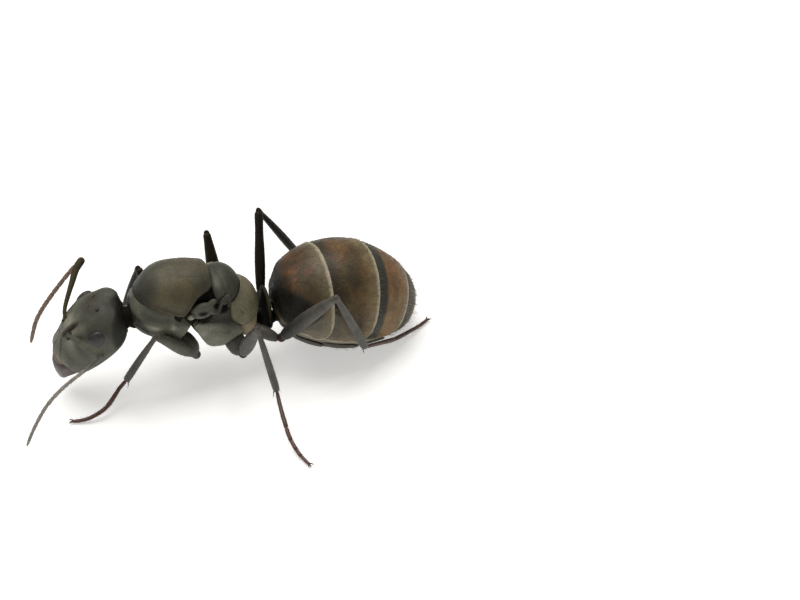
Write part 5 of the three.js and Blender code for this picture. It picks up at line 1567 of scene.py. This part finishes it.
edge_hairs = []
for i, top, V, Q, U, outer, along in GASTER_MESH:
    lo, hi = G_MARGINS[i], G_MARGINS[i + 1]
    Qo = Q[(outer[Q] > 0.5).all(1) & (U[Q].min(1) > lo + 0.004)]
    n = int([2600, 3600, 2800, 1300, 600][i] * (1.0 if top else 0.35))
    P, N, rng, pick = scatter(V, Qo, n, 100 + 2 * i + top, lambda c, nn: np.where(c[:, 2] > 0.06, 1.0, 0.0))
    lie, uv = along_gaster(P)
    coat(f"gaster_{'back' if top else 'belly'}_down_{i + 1}", P, N, lie, 0.10, 0.0055, 0.10, rng, DOWN, uv)
    if top or i > 0:
        P, N, rng, pick = scatter(V, Qo, int([26, 34, 34, 34, 60][i] * (1 if top else 0.7)), 200 + 2 * i + top, lambda c, nn: np.where(c[:, 2] > 0.5, 1.0, 0.0))
        edge_hairs.append((P, N))
    if i < 4 and top:
        ang = np.radians(np.linspace(-4, 184, 70)) + rng.normal(0, 0.012, 70)
        for back, skip in ((0.010, 1), (0.045, 3)):
            uu = hi - back - 0.003 * rng.random(70)
            R = ring_points(uu, ang, np.full(70, 0.046))
            al, sd, up = spine_turn(uu)
            RN = sd * np.cos(ang)[:, None] + up * np.sin(ang)[:, None]
            ok = (R[:, 2] > 0.4) & (rng.random(70) < 0.75)
            edge_hairs.append((R[ok][::skip], RN[ok][::skip]))
# a comb of pale bristles lying back over the fourth plate
i, top, V, Q, U, outer, along = GASTER_MESH[6]
Qo = Q[(outer[Q] > 0.5).all(1) & (U[Q].min(1) > G_MARGINS[3] + 0.006)]
P, N, rng, pick = scatter(V, Qo, 190, 260, lambda c, nn: np.where(c[:, 2] > 0.3, 1.0, 0.0))
lie, uv = along_gaster(P)
coat("gaster_comb", P, N, lie, 0.36, 0.020, 0.10, rng, SETA, uv)
P, N = (np.vstack([e[k] for e in edge_hairs]) for k in range(2))
lie, uv = along_gaster(P)
coat("gaster_setae", P, N, lie, 0.30, 0.013, 0.55, np.random.default_rng(9), SETA, uv)


def skin_coat(prefix, mesh, mapper, inv_axes, down, setae, lie_local, seed, long=0.3, fluff=0.12, mask=None):
    V, Q = mesh
    W = mapper(V)
    P, N, rng, pick = scatter(W, Q, down, seed, None)
    local = inv_axes(P)
    lie = lie_local(local) @ (HEAD_AXES.T if prefix == "head" else THORAX_AXES.T)
    coat(f"{prefix}_down", P, N, lie, fluff, 0.006, 0.14, rng, DOWN, roll_uv(local))
    P, N, rng, pick = scatter(W, Q, setae, seed + 1, mask)
    local = inv_axes(P)
    lie = lie_local(local) @ (HEAD_AXES.T if prefix == "head" else THORAX_AXES.T)
    coat(f"{prefix}_setae", P, N, lie, long, 0.011, 1.0, rng, SETA, roll_uv(local))


skin_coat("head", HEAD_MESH, from_head, to_head, 3000, 46, lambda q: np.stack([np.ones(len(q)), -0.35 * np.sign(q[:, 1]), 0 * q[:, 0]], 1), 300, 0.20, 0.075)
skin_coat("scutum", SCUTUM, from_thorax, to_thorax, 2200, 16, lambda q: np.stack([np.ones(len(q)), 0.1 * q[:, 1], 0 * q[:, 0]], 1), 310, 0.13, 0.07)
skin_coat("sides", PLEURON, from_thorax, to_thorax, 2400, 24, lambda q: np.stack([np.ones(len(q)), 0 * q[:, 1], -0.5 + 0 * q[:, 0]], 1), 320, 0.20, 0.085)
skin_coat("collar", COLLAR, from_thorax, to_thorax, 1600, 20, lambda q: np.stack([np.ones(len(q)), 0 * q[:, 1], -0.4 + 0 * q[:, 0]], 1), 330, 0.20, 0.08)
skin_coat("propodeum", PROPODEUM, from_thorax, to_thorax, 1500, 22, lambda q: np.stack([np.ones(len(q)), 0 * q[:, 1], -0.5 + 0 * q[:, 0]], 1), 340, 0.20, 0.085)

# limbs: short down lying towards the foot
P_all, N_all, L_all, UV_all = [], [], [], []
for n, (name, pts, v, q, al, ro, L) in enumerate(LIMB_MESHES):
    count = int({"coxa": 260, "femur": 420, "tibia": 420, "tarsus": 360, "scape": 260, "funiculus": 260}[name.split("_")[0]])
    P, N, rng, pick = scatter(v, q, count, 500 + n)
    C, Tn, _, _, _ = smooth_path(pts)
    k = np.argmin(((P[:, None] - C[None, ::4]) ** 2).sum(2), 1) * 4
    P_all.append(P)
    N_all.append(N)
    L_all.append(Tn[np.minimum(k, len(Tn) - 1)])
    UV_all.append(np.stack([0.01 + 0.97 * ((n + rng.random(count) * 0.6 + 0.2) / len(LIMB_MESHES)), 0.01 + 0.97 * k / len(Tn)], 1))
rng = np.random.default_rng(77)
coat("limb_down", np.vstack(P_all), np.vstack(N_all), np.vstack(L_all), 0.085, 0.006, 0.26, rng, DOWN, np.vstack(UV_all))

# ------------------------------------------------------------------ floor, light and camera
me = bpy.data.meshes.new("floor")
me.from_pydata([(-3, -3, 0), (3, -3, 0), (3, 3, 0), (-3, 3, 0)], [], [(0, 1, 2, 3)])
floor = bpy.data.objects.new("floor", me)
floor.location = (0, 0, -0.00002)
bpy.context.scene.collection.objects.link(floor)
g = Graph("floor_white")
g.shader.inputs["Emission Color"].default_value = (1.0, 0.995, 0.98, 1.0)
g.shader.inputs["Emission Strength"].default_value = 0.46
me.materials.append(g.finish(g.mix(g.scalar(g.noise(0.02, 2.0), 0.3, 0.7), (0.86, 0.86, 0.855), (0.88, 0.88, 0.875)), 0.9, None, specular=0.1))

world = bpy.data.worlds.new("studio")
world.use_nodes = True
bpy.context.scene.world = world
sky = world.node_tree.nodes["Background"]
sky.inputs["Color"].default_value = (1.0, 0.985, 0.95, 1.0)
sky.inputs["Strength"].default_value = 0.20


def softbox(name, at, size, power, colour=(1, 1, 1)):
    data = bpy.data.lights.new(name, "AREA")
    data.shape = "RECTANGLE"
    data.size, data.size_y = size
    data.energy = power
    data.color = colour
    ob = bpy.data.objects.new(name, data)
    ob.location = at
    ob.rotation_euler = (-Vector(at)).to_track_quat("-Z", "Y").to_euler()
    bpy.context.scene.collection.objects.link(ob)


softbox("key_overhead", (-0.03, 0.12, 0.34), (0.42, 0.30), 1.35, (1.0, 0.985, 0.955))
softbox("fill_front", (-0.30, -0.26, 0.14), (0.22, 0.16), 0.12, (1.0, 1.0, 1.0))

cam = bpy.data.cameras.new("camera")
cam.sensor_width = 36.0
cam.lens = 158.6
cam.clip_start = 0.01
cam.clip_end = 10.0
camera = bpy.data.objects.new("camera", cam)
bpy.context.scene.collection.objects.link(camera)
at = Vector((-26.216, -111.682, 100.03)) * MM
to = Vector((7.384, -1.802, 3.62)) * MM
camera.location = at
camera.rotation_euler = (to - at).to_track_quat("-Z", "Y").to_euler()
bpy.context.scene.camera = camera
bpy.context.scene.view_settings.view_transform = "Standard"
